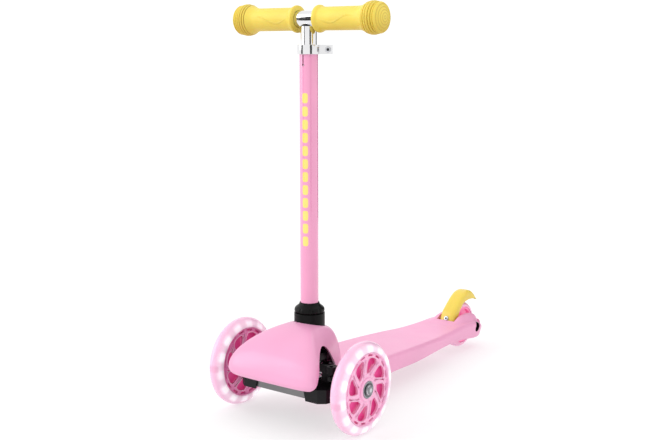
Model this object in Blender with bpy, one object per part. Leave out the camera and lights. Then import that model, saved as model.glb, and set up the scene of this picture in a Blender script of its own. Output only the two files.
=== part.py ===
"""A child's three-wheeled kick scooter that steers when it is leaned.

Metres, +Z up, the rider faces -Y and the rider's left is +X.  The origin is on the floor under the
middle of the scooter's length.  Every piece is its own closed solid, and pieces that touch keep GAP.
"""
from math import atan2, cos, pi, radians, sin

import bmesh
import bpy
from mathutils import Matrix, Vector

# ---------------------------------------------------------------- driving dimensions
GAP = 0.0003

FRONT_RADIUS = 0.060
REAR_RADIUS = 0.037
WHEELBASE = 0.420
HALF_TRACK = 0.100
FRONT_REACH = 0.0675
REAR_REACH = 0.0386
LENGTH = FRONT_REACH + WHEELBASE + REAR_REACH
FRONT_Y = FRONT_REACH - LENGTH / 2
REAR_Y = FRONT_Y + WHEELBASE

COLUMN_Y = FRONT_Y + 0.023
BAR_HEIGHT = 0.5185
BAR_HALF_LENGTH = 0.116
OUTER_TUBE_RADIUS = 0.0120
OUTER_TUBE_BORE = 0.0108
INNER_TUBE_RADIUS = 0.0104
INNER_TUBE_BORE = 0.0090
TUBE_FOOT = 0.0970
TUBE_TOP = 0.4862
CLAMP_HEIGHT = 0.0120
SLIT_LENGTH = 0.0250

TYRE_HALF_WIDTH = 0.0103
RIM_RADIUS = 0.0467
REAR_TYRE_HALF_WIDTH = 0.0100
REAR_RIM_RADIUS = 0.0285
BEARING_RADIUS = 0.0110
BEARING_BORE = 0.0042
BEARING_WIDTH = 0.0070
BOLT_RADIUS = 0.0039

KINGPIN_X = 0.070
KINGPIN_RADIUS = 0.0030
LEAN_HEIGHT = 0.064
SCREW_X = 0.0165
SCREW_Y = FRONT_Y + 0.0475
TIE_HEIGHT = LEAN_HEIGHT + 0.020
STEER_ARM = 0.023

SLOT_HALF_WIDTH = 0.0160
SLOT_FRONT = FRONT_Y + 0.3715
SLOT_LIP = FRONT_Y + 0.3778
ARM_SEAT = 0.0250
BRAKE_Y = FRONT_Y + 0.3765
BRAKE_HEIGHT = 0.0430
BRAKE_HALF_WIDTH = 0.0126
CHEEK_INNER = 0.0107
BRAKE_PIN_RADIUS = 0.0025

PINK = (0.93, 0.42, 0.64, 1.0)
MAGENTA = (0.80, 0.05, 0.28, 1.0)
PALE_PINK = (0.97, 0.80, 0.88, 1.0)
YELLOW = (0.95, 0.72, 0.12, 1.0)
BLACK = (0.015, 0.015, 0.017, 1.0)
STEEL = (0.62, 0.62, 0.64, 1.0)
CHROME = (0.82, 0.82, 0.84, 1.0)
ALUMINIUM = (0.48, 0.49, 0.50, 1.0)

ALONG_X = Matrix.Rotation(pi / 2, 4, "Y")
ALONG_Y = Matrix.Rotation(-pi / 2, 4, "X")


# ---------------------------------------------------------------- general tools
def clear_scene():
    """Remove every object, so that the scene holds only the scooter."""
    for obj in list(bpy.data.objects):
        bpy.data.objects.remove(obj, do_unlink=True)


def make_material(name, colour, roughness, metallic):
    """A Principled material."""
    material = bpy.data.materials.new(name)
    material.use_nodes = True
    shader = material.node_tree.nodes["Principled BSDF"]
    shader.inputs["Base Color"].default_value = colour
    shader.inputs["Roughness"].default_value = roughness
    shader.inputs["Metallic"].default_value = metallic
    material.diffuse_color = colour
    return material


def make_object(name, bm, finish, place=None, origin=(0.0, 0.0, 0.0)):
    """Turn a bmesh, drawn in world space after `place`, into an object with its own material."""
    if place is not None:
        bm.transform(place)
    bmesh.ops.remove_doubles(bm, verts=bm.verts, dist=1e-6)
    bmesh.ops.recalc_face_normals(bm, faces=bm.faces)
    bm.transform(Matrix.Translation(-Vector(origin)))
    mesh = bpy.data.meshes.new(name)
    bm.to_mesh(mesh)
    bm.free()
    mesh.shade_smooth()
    mesh.set_sharp_from_angle(angle=radians(35))
    mesh.materials.append(make_material(name, *finish))
    obj = bpy.data.objects.new(name, mesh)
    obj.location = origin
    bpy.context.scene.collection.objects.link(obj)
    return obj


def put_ring(bm, radius, height, steps):
    """A ring of vertices about Z, or one vertex on the axis."""
    if radius < 1e-7:
        return [bm.verts.new((0.0, 0.0, height))]
    turns = [2 * pi * step / steps for step in range(steps)]
    return [bm.verts.new((radius * sin(turn), -radius * cos(turn), height)) for turn in turns]


def join_rings(bm, lower, upper):
    """Faces between two neighbouring rings, either of which may be one vertex."""
    steps = max(len(lower), len(upper))
    if len(lower) == len(upper) == 1:
        return
    for step in range(steps):
        following = (step + 1) % steps
        corners = []
        corners += [lower[0]] if len(lower) == 1 else [lower[step], lower[following]]
        corners += [upper[0]] if len(upper) == 1 else [upper[following], upper[step]]
        bm.faces.new(corners)


def turned(profile, steps=24):
    """A solid of revolution about Z.  A profile that leaves and meets the axis closes there."""
    bm = bmesh.new()
    rings = [put_ring(bm, radius, height, steps) for radius, height in profile]
    for lower, upper in zip(rings, rings[1:]):
        join_rings(bm, lower, upper)
    if profile[0][0] > 1e-7:
        join_rings(bm, rings[-1], rings[0])
    return bm


def sleeve(outer, inner, low, high, steps=24):
    """A plain tube about Z."""
    return turned([(inner, low), (outer, low), (outer, high), (inner, high)], steps)


def rod(radius, low, high, steps=24):
    """A plain round bar about Z."""
    return turned([(0.0, low), (radius, low), (radius, high), (0.0, high)], steps)


def prism(outline, low, high):
    """A closed outline in XY, drawn up from low to high."""
    bm = bmesh.new()
    lower = [bm.verts.new((x, y, low)) for x, y in outline]
    upper = [bm.verts.new((x, y, high)) for x, y in outline]
    bm.faces.new(lower[::-1])
    bm.faces.new(upper)
    for index in range(len(outline)):
        following = (index + 1) % len(outline)
        bm.faces.new((lower[index], lower[following], upper[following], upper[index]))
    return bm


def block(low, high, bevel=0.0):
    """A box between two corners, with rounded edges where bevel is given."""
    bm = bmesh.new()
    bmesh.ops.create_cube(bm, size=1.0)
    size = Vector(high) - Vector(low)
    centre = (Vector(high) + Vector(low)) / 2
    bm.transform(Matrix.Translation(centre) @ Matrix.Diagonal((*size, 1.0)))
    if bevel:
        bmesh.ops.bevel(bm, geom=bm.edges[:], offset=bevel, segments=2, profile=0.5, affect="EDGES")
    return bm


def smooth_curve(points, steps):
    """Points along a Catmull-Rom curve through an open list of 2-D or 3-D points."""
    nodes = [Vector(point) for point in points]
    nodes = [2 * nodes[0] - nodes[1]] + nodes + [2 * nodes[-1] - nodes[-2]]
    curve = []
    for before, start, end, after in zip(nodes, nodes[1:], nodes[2:], nodes[3:]):
        for step in range(steps):
            t = step / steps
            curve.append(0.5 * (2 * start + (end - before) * t
                                + (2 * before - 5 * start + 4 * end - after) * t ** 2
                                + (3 * start - before - 3 * end + after) * t ** 3))
    curve.append(nodes[-2])
    return curve


def value_at(points, position):
    """Height of a smooth curve, drawn through (position, height) points, at one position."""
    curve = smooth_curve(points, 8)
    if position <= curve[0][0]:
        return curve[0][1]
    for start, end in zip(curve, curve[1:]):
        if position <= end[0]:
            share = (position - start[0]) / (end[0] - start[0])
            return start[1] + share * (end[1] - start[1])
    return curve[-1][1]


def smooth_step(value):
    """0 below 0, 1 above 1, and a soft rise between."""
    value = min(max(value, 0.0), 1.0)
    return value * value * (3 - 2 * value)


def helix(radius, wire, low, high, turns, steps=10, sides=4):
    """A coil of round wire about Z, its ends closed."""
    bm = bmesh.new()
    count = int(turns * steps)
    rings = []
    for index in range(count + 1):
        turn = 2 * pi * index / steps
        height = low + (high - low) * index / count
        outward = Vector((cos(turn), sin(turn), 0.0))
        centre = outward * radius + Vector((0.0, 0.0, height))
        ring = []
        for side in range(sides):
            around = 2 * pi * side / sides
            offset = cos(around) * outward + sin(around) * Vector((0, 0, 1))
            ring.append(bm.verts.new(centre + wire * offset))
        rings.append(ring)
    for lower, upper in zip(rings, rings[1:]):
        for side in range(sides):
            following = (side + 1) % sides
            bm.faces.new((lower[side], lower[following], upper[following], upper[side]))
    bm.faces.new(rings[0])
    bm.faces.new(rings[-1])
    return bm


def split_to_triangles(mesh):
    """Make every face flat, so that no later cut leaves a crack along a bent face."""
    bm = bmesh.new()
    bm.from_mesh(mesh)
    bmesh.ops.remove_doubles(bm, verts=bm.verts, dist=1e-6)
    bmesh.ops.dissolve_degenerate(bm, dist=1e-6, edges=bm.edges)
    bmesh.ops.triangulate(bm, faces=bm.faces)
    bm.to_mesh(mesh)
    bm.free()


def work_with(obj, tools, operation):
    """Cut the tools from an object, or join them to it, and remove them."""
    for index, tool_mesh in enumerate(tools):
        split_to_triangles(obj.data)
        tool = make_object(f"{obj.name}_tool_{index}", tool_mesh, (BLACK, 0.5, 0.0))
        modifier = obj.modifiers.new("work", "BOOLEAN")
        modifier.operation = operation
        modifier.object = tool
        modifier.solver = "EXACT"
        view = bpy.context.evaluated_depsgraph_get()
        worked = bpy.data.meshes.new_from_object(obj.evaluated_get(view), depsgraph=view)
        obj.modifiers.remove(modifier)
        old_mesh = obj.data
        obj.data = worked
        worked.name = obj.name
        bpy.data.meshes.remove(old_mesh)
        bpy.data.objects.remove(tool, do_unlink=True)
    while len(obj.data.materials) > 1:
        obj.data.materials.pop()
    obj.data.shade_smooth()
    obj.data.set_sharp_from_angle(angle=radians(35))
    return obj


def cut(obj, *tools):
    return work_with(obj, tools, "DIFFERENCE")


def join(obj, *tools):
    return work_with(obj, tools, "UNION")


def side_prism(outline, low_x, high_x):
    """An outline of (y, z) points, drawn across the scooter."""
    bm = prism([(z, y) for y, z in outline], low_x, high_x)
    bm.transform(Matrix(((0, 0, 1, 0), (0, 1, 0, 0), (1, 0, 0, 0), (0, 0, 0, 1))))
    return bm


def moved(bm, matrix):
    """A bmesh after a transform, for use as a tool."""
    bm.transform(matrix)
    return bm


def at(x, y, z):
    return Matrix.Translation((x, y, z))


# ---------------------------------------------------------------- deck
def deck_half_width(y):
    """Half the deck's width, y measured back from the front axle."""
    return value_at([(0.042, 0.038), (0.064, 0.0435), (0.095, 0.050), (0.135, 0.0530), (0.175, 0.0525),
                     (0.230, 0.0500), (0.280, 0.0455), (0.320, 0.0415), (0.360, 0.0385), (0.395, 0.0378),
                     (0.415, 0.0376), (0.430, 0.0360), (0.442, 0.0316), (0.450, 0.0246), (0.4535, 0.0198)], y)


def deck_top(x, y):
    """Height of the deck's top: a gentle fall to the rear, then two lobes beside the wheel."""
    height = value_at([(0.042, 0.0572), (0.064, 0.0576), (0.120, 0.0593), (0.170, 0.0578),
                       (0.260, 0.0523), (0.300, 0.0495), (0.340, 0.0485), (0.380, 0.0485),
                       (0.400, 0.0475), (0.420, 0.0450), (0.435, 0.0410), (0.445, 0.0370),
                       (0.4535, 0.0320)], y)
    lobe = value_at([(0.360, 0.0), (0.378, 0.0030), (0.392, 0.0085), (0.406, 0.0110), (0.420, 0.0125),
                     (0.434, 0.0125), (0.445, 0.0100), (0.4535, 0.0070)], y)
    shoulder = max(deck_half_width(y) - 0.0065 - 0.0185, 0.0010)
    return height + max(lobe, 0.0) * smooth_step(1 - (abs(x) - 0.0185) / shoulder)


def deck_bottom(y):
    return value_at([(0.042, 0.0310), (0.120, 0.0310), (0.170, 0.0305), (0.220, 0.0285),
                     (0.300, 0.0280), (0.340, 0.0265), (0.380, 0.0232), (0.405, 0.0200),
                     (0.420, 0.0180), (0.435, 0.0172), (0.445, 0.0190), (0.4535, 0.0235)], y)


def deck_section(y):
    """One cross-section of the deck, from its left edge over the top and back below."""
    width = deck_half_width(y)
    bottom = deck_bottom(y)
    height = deck_top(width, y) - bottom
    round_top = min(0.0065, 0.45 * height)
    round_low = min(0.0050, 0.45 * height)
    draft = 0.0035 * height / 0.025
    half = []
    inset = width - round_top
    for share in (0.0, 0.30, 0.52, 0.66, 0.80, 0.90):
        half.append((share * inset, deck_top(share * inset, y)))
    for turn in (90, 60, 30, 0):
        x = inset + round_top * cos(radians(turn))
        half.append((x, deck_top(inset, y) - round_top * (1 - sin(radians(turn)))))
    for turn in (-10, -80):
        x = width - draft - round_low + round_low * cos(radians(turn))
        half.append((x, bottom + round_low * (1 + sin(radians(turn)))))
    right = [(x, y, z) for x, z in half]
    left = [(-x, y, z) for x, z in half[:0:-1]]
    return right + left


def build_deck():
    stations = [0.042, 0.055, 0.075, 0.100, 0.130, 0.165, 0.205, 0.245, 0.280, 0.310, 0.340,
                0.360, 0.373, 0.382, 0.390, 0.398, 0.407, 0.416, 0.424, 0.431, 0.437, 0.442,
                0.447, 0.4505, 0.4535]
    bm = bmesh.new()
    rings = [[bm.verts.new(point) for point in deck_section(y)] for y in stations]
    for front, back in zip(rings, rings[1:]):
        join_rings(bm, front, back)
    bm.faces.new(rings[0])
    bm.faces.new(rings[-1])
    place = at(0, FRONT_Y, 0)
    deck = make_object("deck", bm, (PINK, 0.42, 0.0), place)
    far = REAR_Y + 0.060
    slot = side_prism([(SLOT_FRONT, 0.0), (SLOT_FRONT, 0.0475), (SLOT_LIP, 0.0475), (SLOT_LIP, 0.090),
                       (far, 0.090), (far, 0.0)], -SLOT_HALF_WIDTH, SLOT_HALF_WIDTH)
    pin_hole = moved(rod(BRAKE_PIN_RADIUS + GAP, -0.050, 0.0260, 16), at(0, BRAKE_Y, BRAKE_HEIGHT) @ ALONG_X)
    pin_sink = moved(rod(0.0050, -0.050, -0.0300, 16), at(0, BRAKE_Y, BRAKE_HEIGHT) @ ALONG_X)
    axle_hole = moved(rod(0.0042, -0.050, 0.050, 16), at(0, REAR_Y, REAR_RADIUS) @ ALONG_X)
    sinks = [moved(rod(0.0078, low, high, 18), at(0, REAR_Y, REAR_RADIUS) @ ALONG_X)
             for low, high in ((-0.051, -ARM_SEAT), (ARM_SEAT, 0.051))]
    screw_holes = [moved(rod(0.0021, 0.048, 0.070, 12), at(side * SCREW_X, SCREW_Y, 0))
                   for side in (-1, 1)]
    cut(deck, slot, pin_hole, pin_sink, axle_hole, *sinks, *screw_holes)
    pockets = []
    for row in range(5):
        start = 0.068 + row * 0.052
        narrowest = min(deck_half_width(start), deck_half_width(start + 0.0485))
        for side in (-1, 1):
            low_x, high_x = sorted((side * 0.0015, side * (narrowest - 0.0075)))
            pockets.append(block((low_x, FRONT_Y + start, 0.020), (high_x, FRONT_Y + start + 0.0485, 0.0455)))
    cut(deck, *pockets)
    return deck


# ---------------------------------------------------------------- hood
HOOD_RIM_RADIUS = 0.0209
HOOD_OUTLINE = [(0.0, -0.0675), (0.030, -0.0672), (0.052, -0.0662), (0.0660, -0.0630), (0.0715, -0.0560),
                (0.0695, -0.0410), (0.0640, -0.0220), (0.0570, -0.0060), (0.0490, 0.0100), (0.0425, 0.0260),
                (0.0350, 0.0450), (0.0200, 0.0580), (0.0, 0.0630)]
HOOD_WIDEST = 0.0760
HOOD_WALL = 0.0028


def hood_rim_height(y):
    """The hood's top rim slopes down to the rear, y measured from the front axle."""
    return 0.1232 - 0.25 * (y - 0.023)


def hood_foot(y):
    """Height of the hood's lower edge: level in front, down to the deck behind."""
    return 0.0640 - 0.0052 * smooth_step((y + 0.020) / 0.050)


def hood_point(base, level):
    """A point of the hood's outside above one outline point; level runs 0 at the rim, 1 widest, 2 foot."""
    angle = atan2(base[1] - 0.023, base[0])
    rim = Vector((HOOD_RIM_RADIUS * cos(angle), 0.023 + HOOD_RIM_RADIUS * sin(angle)))
    rim_height = hood_rim_height(rim[1])
    foot = hood_foot(base[1])
    rearness = smooth_step((base[1] + 0.045) / 0.080)
    if level <= 1.0:
        spread = (1 - (1 - level) ** 2) ** (0.80 - 0.25 * rearness)
        flat = rim + spread * (Vector(base) - rim)
        return Vector((flat[0], flat[1], rim_height - level * (rim_height - HOOD_WIDEST)))
    tuck = 0.075 * (level - 1) ** 2 * (1 - rearness)
    flat = Vector(base) + tuck * (Vector((0.0, -0.010)) - Vector(base))
    return Vector((flat[0], flat[1], HOOD_WIDEST - (level - 1) * (HOOD_WIDEST - foot)))


def build_hood():
    half = smooth_curve(HOOD_OUTLINE, 2)
    outline = [(x, y) for x, y in half] + [(-x, y) for x, y in half[-2:0:-1]]
    levels = [0.0, 0.04, 0.13, 0.26, 0.42, 0.62, 1.0, 1.45, 2.0]
    bm = bmesh.new()
    centre = Vector((0.0, 0.0, 0.060))
    outside = []
    inside = []
    for level in levels:
        ring = [hood_point(base, level) for base in outline]
        outside.append([bm.verts.new(point) for point in ring])
        inner = []
        for index, point in enumerate(ring):
            if level == 0.0:
                inner.append(point + Vector((0.0, 0.0, -HOOD_WALL)))
                continue
            around = ring[(index + 1) % len(ring)] - ring[index - 1]
            above = hood_point(outline[index], max(level - 0.01, 0.0))
            below = hood_point(outline[index], min(level + 0.01, 2.0))
            normal = around.cross(above - below)
            normal.normalize()
            if normal.dot(point - centre) < 0:
                normal.negate()
            if level == 2.0:
                normal.z = 0.0
                normal.normalize()
            inner.append(point - HOOD_WALL * normal)
        inside.append([bm.verts.new(point) for point in inner])
    for upper, lower in zip(outside, outside[1:]):
        join_rings(bm, upper, lower)
    for upper, lower in zip(inside, inside[1:]):
        join_rings(bm, upper, lower)
    join_rings(bm, outside[0], inside[0])
    join_rings(bm, outside[-1], inside[-1])
    hood = make_object("hood_cover", bm, (PINK, 0.40, 0.0), at(0, FRONT_Y, 0))
    arch = smooth_curve([(-0.0610, 0.0500), (-0.0595, 0.0640), (-0.0545, 0.0730), (-0.0475, 0.0835),
                         (-0.0380, 0.0955), (-0.0250, 0.1045), (-0.0130, 0.1085), (-0.0040, 0.1050),
                         (0.0060, 0.0930), (0.0175, 0.0790), (0.0280, 0.0640), (0.0300, 0.0500)], 3)
    opening = [(y + FRONT_Y, z) for y, z in arch]
    cut(hood, side_prism(opening, -0.090, -0.030), side_prism(opening, 0.030, 0.090))
    return hood


# ---------------------------------------------------------------- steering block and lean pivot
def build_steering_block():
    front = FRONT_Y - 0.0175
    base = block((-0.0235, front, 0.0862), (0.0235, FRONT_Y + 0.0460, 0.0960))
    obj = make_object("steering_block", base, (BLACK, 0.45, 0.2))
    wings = block((-0.0400, FRONT_Y - 0.0085, 0.0864), (0.0400, FRONT_Y + 0.0085, 0.0954))
    tools = [wings]
    for low, high in ((-0.0175, -0.0093), (0.0093, 0.0175)):
        tools.append(block((-0.0072, FRONT_Y + low, LEAN_HEIGHT), (0.0072, FRONT_Y + high, 0.090)))
        round_end = rod(0.0072, low, high, 16)
        tools.append(moved(round_end, at(0, FRONT_Y, LEAN_HEIGHT) @ ALONG_Y))
    tools.append(block((-0.0150, FRONT_Y + 0.0170, 0.0640), (0.0150, FRONT_Y + 0.0410, 0.0900)))
    tools.append(block((-0.0205, FRONT_Y + 0.0360, 0.0578), (0.0205, FRONT_Y + 0.0520, 0.0650)))
    join(obj, *tools)
    peg = moved(rod(0.0025, -0.0280, -0.0100, 12), at(0, FRONT_Y, TIE_HEIGHT) @ ALONG_Y)
    join(obj, peg)
    bore = moved(rod(0.0042, -0.040, 0.0310, 16), at(0, FRONT_Y, LEAN_HEIGHT) @ ALONG_Y)
    holes = [moved(rod(0.0023, 0.050, 0.075, 10), at(side * SCREW_X, SCREW_Y, 0)) for side in (-1, 1)]
    cut(obj, bore, *holes)
    return obj


def build_lean_pivot():
    bolt = turned([(0, -0.0215), (0.0065, -0.0215), (0.0065, -0.0178), (BOLT_RADIUS, -0.0178),
                   (BOLT_RADIUS, 0.0300), (0, 0.0300)], 14)
    make_object("lean_bolt", bolt, (STEEL, 0.35, 1.0), at(0, FRONT_Y, LEAN_HEIGHT) @ ALONG_Y)
    for side, name in ((-1, "block_screw_right"), (1, "block_screw_left")):
        screw = turned([(0, 0.0495), (0.0018, 0.0495), (0.0018, 0.0653), (0.0038, 0.0653),
                        (0.0034, 0.0674), (0, 0.0674)], 10)
        make_object(name, screw, (STEEL, 0.35, 1.0), at(side * SCREW_X, SCREW_Y, 0))


# ---------------------------------------------------------------- column, clamp and T-bar
def build_column():
    column = at(0, COLUMN_Y, 0)
    seat = OUTER_TUBE_RADIUS + GAP
    socket = turned([(seat, 0.0963), (0.0240, 0.0963), (0.0240, 0.1000), (0.0203, 0.1000),
                     (0.0203, 0.1388), (0.0198, 0.1394), (seat, 0.1394)], 24)
    make_object("column_socket", socket, (BLACK, 0.35, 0.0), column)
    nut = turned([(seat, 0.1398), (0.0192, 0.1398), (0.0199, 0.1408), (0.0199, 0.1452), (0.0192, 0.1474),
                  (0.0158, 0.1496), (0.0134, 0.1508), (0.0129, 0.1528), (seat, 0.1528)], 24)
    make_object("collar_nut", nut, (BLACK, 0.32, 0.0), column)
    tube = make_object("lower_tube", sleeve(OUTER_TUBE_RADIUS, OUTER_TUBE_BORE, TUBE_FOOT, TUBE_TOP, 24),
                       (PINK, 0.25, 0.2), column)
    slit_low = (-0.0011, COLUMN_Y - 0.020, TUBE_TOP - SLIT_LENGTH)
    slit_high = (0.0011, COLUMN_Y - 0.005, TUBE_TOP + 0.01)
    slit = block(slit_low, slit_high)
    slit_end = moved(rod(0.0018, -0.020, -0.005, 12), at(0, COLUMN_Y, TUBE_TOP - SLIT_LENGTH) @ ALONG_Y)
    cut(tube, slit, slit_end)


def build_clamp():
    """The height clamp: a split band with two ears, a bolt through them and its nut."""
    low = TUBE_TOP + 0.0003 - CLAMP_HEIGHT
    turn = Matrix.Rotation(radians(36), 4, "Z")
    place = at(0, COLUMN_Y, low) @ turn
    outer = 0.0150
    inner = OUTER_TUBE_RADIUS + GAP
    band = make_object("clamp_collar", sleeve(outer, inner, 0, CLAMP_HEIGHT, 24), (CHROME, 0.15, 1.0), place)
    ears = moved(block((inner + 0.0012, -0.0062, 0), (0.0305, 0.0062, CLAMP_HEIGHT), 0.0008), place)
    gap = moved(block((0, -0.0012, -0.01), (0.050, 0.0012, 0.03)), place)
    centre = at(0, COLUMN_Y, low) @ turn @ at(0.0245, 0, CLAMP_HEIGHT / 2) @ ALONG_Y
    hole = moved(rod(0.0024, -0.02, 0.02, 10), centre)
    join(band, ears)
    cut(band, gap, hole)
    bolt = turned([(0, -0.0102), (0.0036, -0.0102), (0.0040, -0.0098), (0.0040, -0.0066), (0.0020, -0.0066),
                   (0.0020, 0.0098), (0, 0.0098)], 14)
    make_object("clamp_bolt", bolt, (STEEL, 0.25, 1.0), centre)
    nut = turned([(0.0026, 0.0066), (0.0042, 0.0066), (0.0042, 0.0096), (0.0026, 0.0096)], 6)
    make_object("clamp_nut", nut, (STEEL, 0.25, 1.0), centre)


def build_tee():
    column = at(0, COLUMN_Y, 0)
    bar = at(0, COLUMN_Y, BAR_HEIGHT) @ ALONG_X
    bar_radius = 0.0105
    top = BAR_HEIGHT - bar_radius - GAP
    inner = sleeve(INNER_TUBE_RADIUS, INNER_TUBE_BORE, 0.330, top, 24)
    make_object("inner_tube", inner, (CHROME, 0.08, 1.0), column, (0, COLUMN_Y, 0.330))
    plug = turned([(0, 0.3230), (0.0104, 0.3230), (0.0104, 0.3297), (0.0087, 0.3297), (0.0087, 0.3430),
                   (0, 0.3430)], 16)
    make_object("tube_plug", plug, (BLACK, 0.5, 0.0), column)
    make_object("crossbar", sleeve(bar_radius, 0.0090, -0.0980, 0.0980, 24), (CHROME, 0.08, 1.0), bar)
    for side, name in ((-1, "grip_right"), (1, "grip_left")):
        outside = [(0.0160, 0.0160), (0.0170, 0.0172), (0.0170, 0.0190), (0.0147, 0.0230),
                   (0.0147, 0.0820), (0.0184, 0.0915), (0.0205, 0.1010), (0.0196, 0.1085),
                   (0.0160, 0.1132), (0.0100, 0.1155), (0.0, 0.1160)]
        inside = [(0.0, 0.0990), (0.0108, 0.0990), (0.0108, 0.0160)]
        grip = turned([(radius, along) for radius, along in inside + outside], 24)
        grip.transform(Matrix.Diagonal((1, 1, side, 1)))
        make_object(name, grip, (YELLOW, 0.55, 0.0), bar)


# ---------------------------------------------------------------- front axle and steering
def build_front_axle():
    bar = block((-0.0580, FRONT_Y - 0.0375, 0.0440), (0.0580, FRONT_Y + 0.0190, 0.0560), 0.0010)
    crossmember = make_object("crossmember", bar, (ALUMINIUM, 0.38, 1.0))
    tunnels = []
    for low, high in ((-0.0350, -0.0190), (-0.0170, -0.0010), (0.0010, 0.0168)):
        tunnels.append(block((-0.07, FRONT_Y + low, 0.0462), (0.07, FRONT_Y + high, 0.0538)))
    cut(crossmember, *tunnels)
    saddle = block((-0.0120, FRONT_Y - 0.0090, 0.0563), (0.0120, FRONT_Y + 0.0090, LEAN_HEIGHT))
    saddle = make_object("pivot_saddle", saddle, (ALUMINIUM, 0.45, 1.0))
    crown = moved(rod(0.0090, -0.0090, 0.0090, 16), at(0, FRONT_Y, LEAN_HEIGHT) @ ALONG_Y)
    join(saddle, crown)
    trim = block((-0.020, FRONT_Y - 0.020, 0.040), (0.020, FRONT_Y + 0.020, 0.0563))
    bore = moved(rod(0.0042, -0.020, 0.020, 16), at(0, FRONT_Y, LEAN_HEIGHT) @ ALONG_Y)
    cut(saddle, trim, bore)
    for side, name in ((-1, "right"), (1, "left")):
        build_end_fork(side, name)
        spring = helix(0.0062, 0.0009, 0.0573, 0.0853, 5)
        make_object(f"centring_spring_{name}", spring, (STEEL, 0.3, 1.0), at(side * 0.030, FRONT_Y, 0))


def side_block(side, low, high, bevel=0.0):
    """A box given for the left side, on either side."""
    low_x, high_x = sorted((side * low[0], side * high[0]))
    return block((low_x, FRONT_Y + low[1], low[2]), (high_x, FRONT_Y + high[1], high[2]), bevel)


# End fork: the plan of the sleeve block (x outward, y from the axle line), the slope cut under its
# inner end (x, z), and each box as a low and a high corner.
FORK_PLAN = [
    (0.0375, -0.0400), (0.0605, -0.0400), (0.0695, -0.0330), (0.0718, -0.0250),
    (0.0718, -0.0130), (0.0608, -0.0105), (0.0608, 0.0215), (0.0375, 0.0215),
]
FORK_BLOCK_Z = (0.0420, 0.0600)
FORK_SLOPE_Y = (-0.0300, 0.0450)
FORK_BACK = ((0.0460, -0.0110, 0.0550), (0.0570, 0.0028, 0.0820))
FORK_LOWER_LUG = ((0.0550, -0.0105, 0.0374), (0.0700, 0.0105, 0.0446))
FORK_UPPER_LUG = ((0.0550, -0.0105, 0.0764), (0.0690, 0.0034, 0.0815))
FORK_SOCKET = ((0.0300, -0.0378, 0.0300), (0.0583, 0.0193, 0.0563))
LOWER_LUG_ROUND = (0.0110, 0.0370, 0.0450)
UPPER_LUG_ROUND = (0.0090, 0.0760, 0.0820)
KNUCKLE_RELIEF = (0.0100, 0.0300, 0.0700)
FORK_SLOPE = [(0.0330, 0.0400), (0.0330, 0.0600), (0.0375, 0.0600), (0.0420, 0.0400)]


def build_end_fork(side, name):
    """The black end of the front axle, whose two lugs hold the kingpin."""
    sleeve_block = prism([(side * x, FRONT_Y + y) for x, y in FORK_PLAN], *FORK_BLOCK_Z)
    fork = make_object(f"end_fork_{name}", sleeve_block, (BLACK, 0.45, 0.0))
    slope = prism([(side * x, z) for x, z in FORK_SLOPE], *FORK_SLOPE_Y)
    slope.transform(at(0, FRONT_Y, 0) @ Matrix.Rotation(pi / 2, 4, "X"))
    relief = moved(rod(*KNUCKLE_RELIEF, 20), at(side * KINGPIN_X, FRONT_Y, 0))
    cut(fork, slope, relief)
    back = side_block(side, *FORK_BACK)
    lower = side_block(side, *FORK_LOWER_LUG)
    upper = side_block(side, *FORK_UPPER_LUG)
    lower_round = moved(rod(*LOWER_LUG_ROUND, 16), at(side * KINGPIN_X, FRONT_Y, 0))
    upper_round = moved(rod(*UPPER_LUG_ROUND, 16), at(side * KINGPIN_X, FRONT_Y, 0))
    join(fork, back, lower, upper, lower_round, upper_round)
    socket = side_block(side, *FORK_SOCKET)
    bore = moved(rod(KINGPIN_RADIUS + GAP, 0.030, 0.090, 12), at(side * KINGPIN_X, FRONT_Y, 0))
    cut(fork, socket, bore)
    pin = turned([(0, 0.0340), (0.0050, 0.0340), (0.0050, 0.0367), (KINGPIN_RADIUS, 0.0367),
                  (KINGPIN_RADIUS, 0.0850), (0, 0.0850)], 12)
    make_object(f"kingpin_{name}", pin, (STEEL, 0.3, 1.0), at(side * KINGPIN_X, FRONT_Y, 0))


def build_knuckle(side, name):
    """A wheel carrier that turns on the kingpin, with its steering arm and the wheel's axle bolt."""
    kingpin = (side * KINGPIN_X, FRONT_Y, 0.0605)
    body = moved(rod(0.0090, 0.0453, 0.0757, 16), at(side * KINGPIN_X, FRONT_Y, 0))
    knuckle = make_object(f"knuckle_{name}", body, (BLACK, 0.45, 0.0), None, kingpin)
    axle_line = at(0, FRONT_Y, FRONT_RADIUS) @ ALONG_X
    low, high = sorted((side * 0.0700, side * 0.0862))
    boss = moved(rod(0.0110, low, high, 18), axle_line)
    low, high = sorted((side * 0.0800, side * 0.0886))
    nose = moved(rod(0.0062, low, high, 14), axle_line)
    arm = side_block(side, (0.0650, -STEER_ARM, 0.0700), (0.0750, 0.0, 0.0757))
    arm_end = moved(rod(0.0050, 0.0700, 0.0757, 12), at(side * KINGPIN_X, FRONT_Y - STEER_ARM, 0))
    peg = moved(rod(0.0020, 0.0740, 0.0900, 10), at(side * KINGPIN_X, FRONT_Y - STEER_ARM, 0))
    join(knuckle, boss, nose, arm, arm_end, peg)
    bore = moved(rod(KINGPIN_RADIUS + GAP, 0.030, 0.090, 12), at(side * KINGPIN_X, FRONT_Y, 0))
    low, high = sorted((side * 0.0745, side * 0.0950))
    axle_hole = moved(rod(0.0042, low, high, 14), axle_line)
    cut(knuckle, bore, axle_hole)
    profile = [(0, 0.0750), (BOLT_RADIUS, 0.0750), (BOLT_RADIUS, 0.1113), (0.0064, 0.1113),
               (0.0064, 0.1128), (0.0048, 0.1146), (0, 0.1146)]
    bolt = turned(profile, 14)
    bolt.transform(Matrix.Diagonal((1, 1, side, 1)))
    make_object(f"axle_bolt_{name}", bolt, (STEEL, 0.25, 1.0), axle_line)


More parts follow.
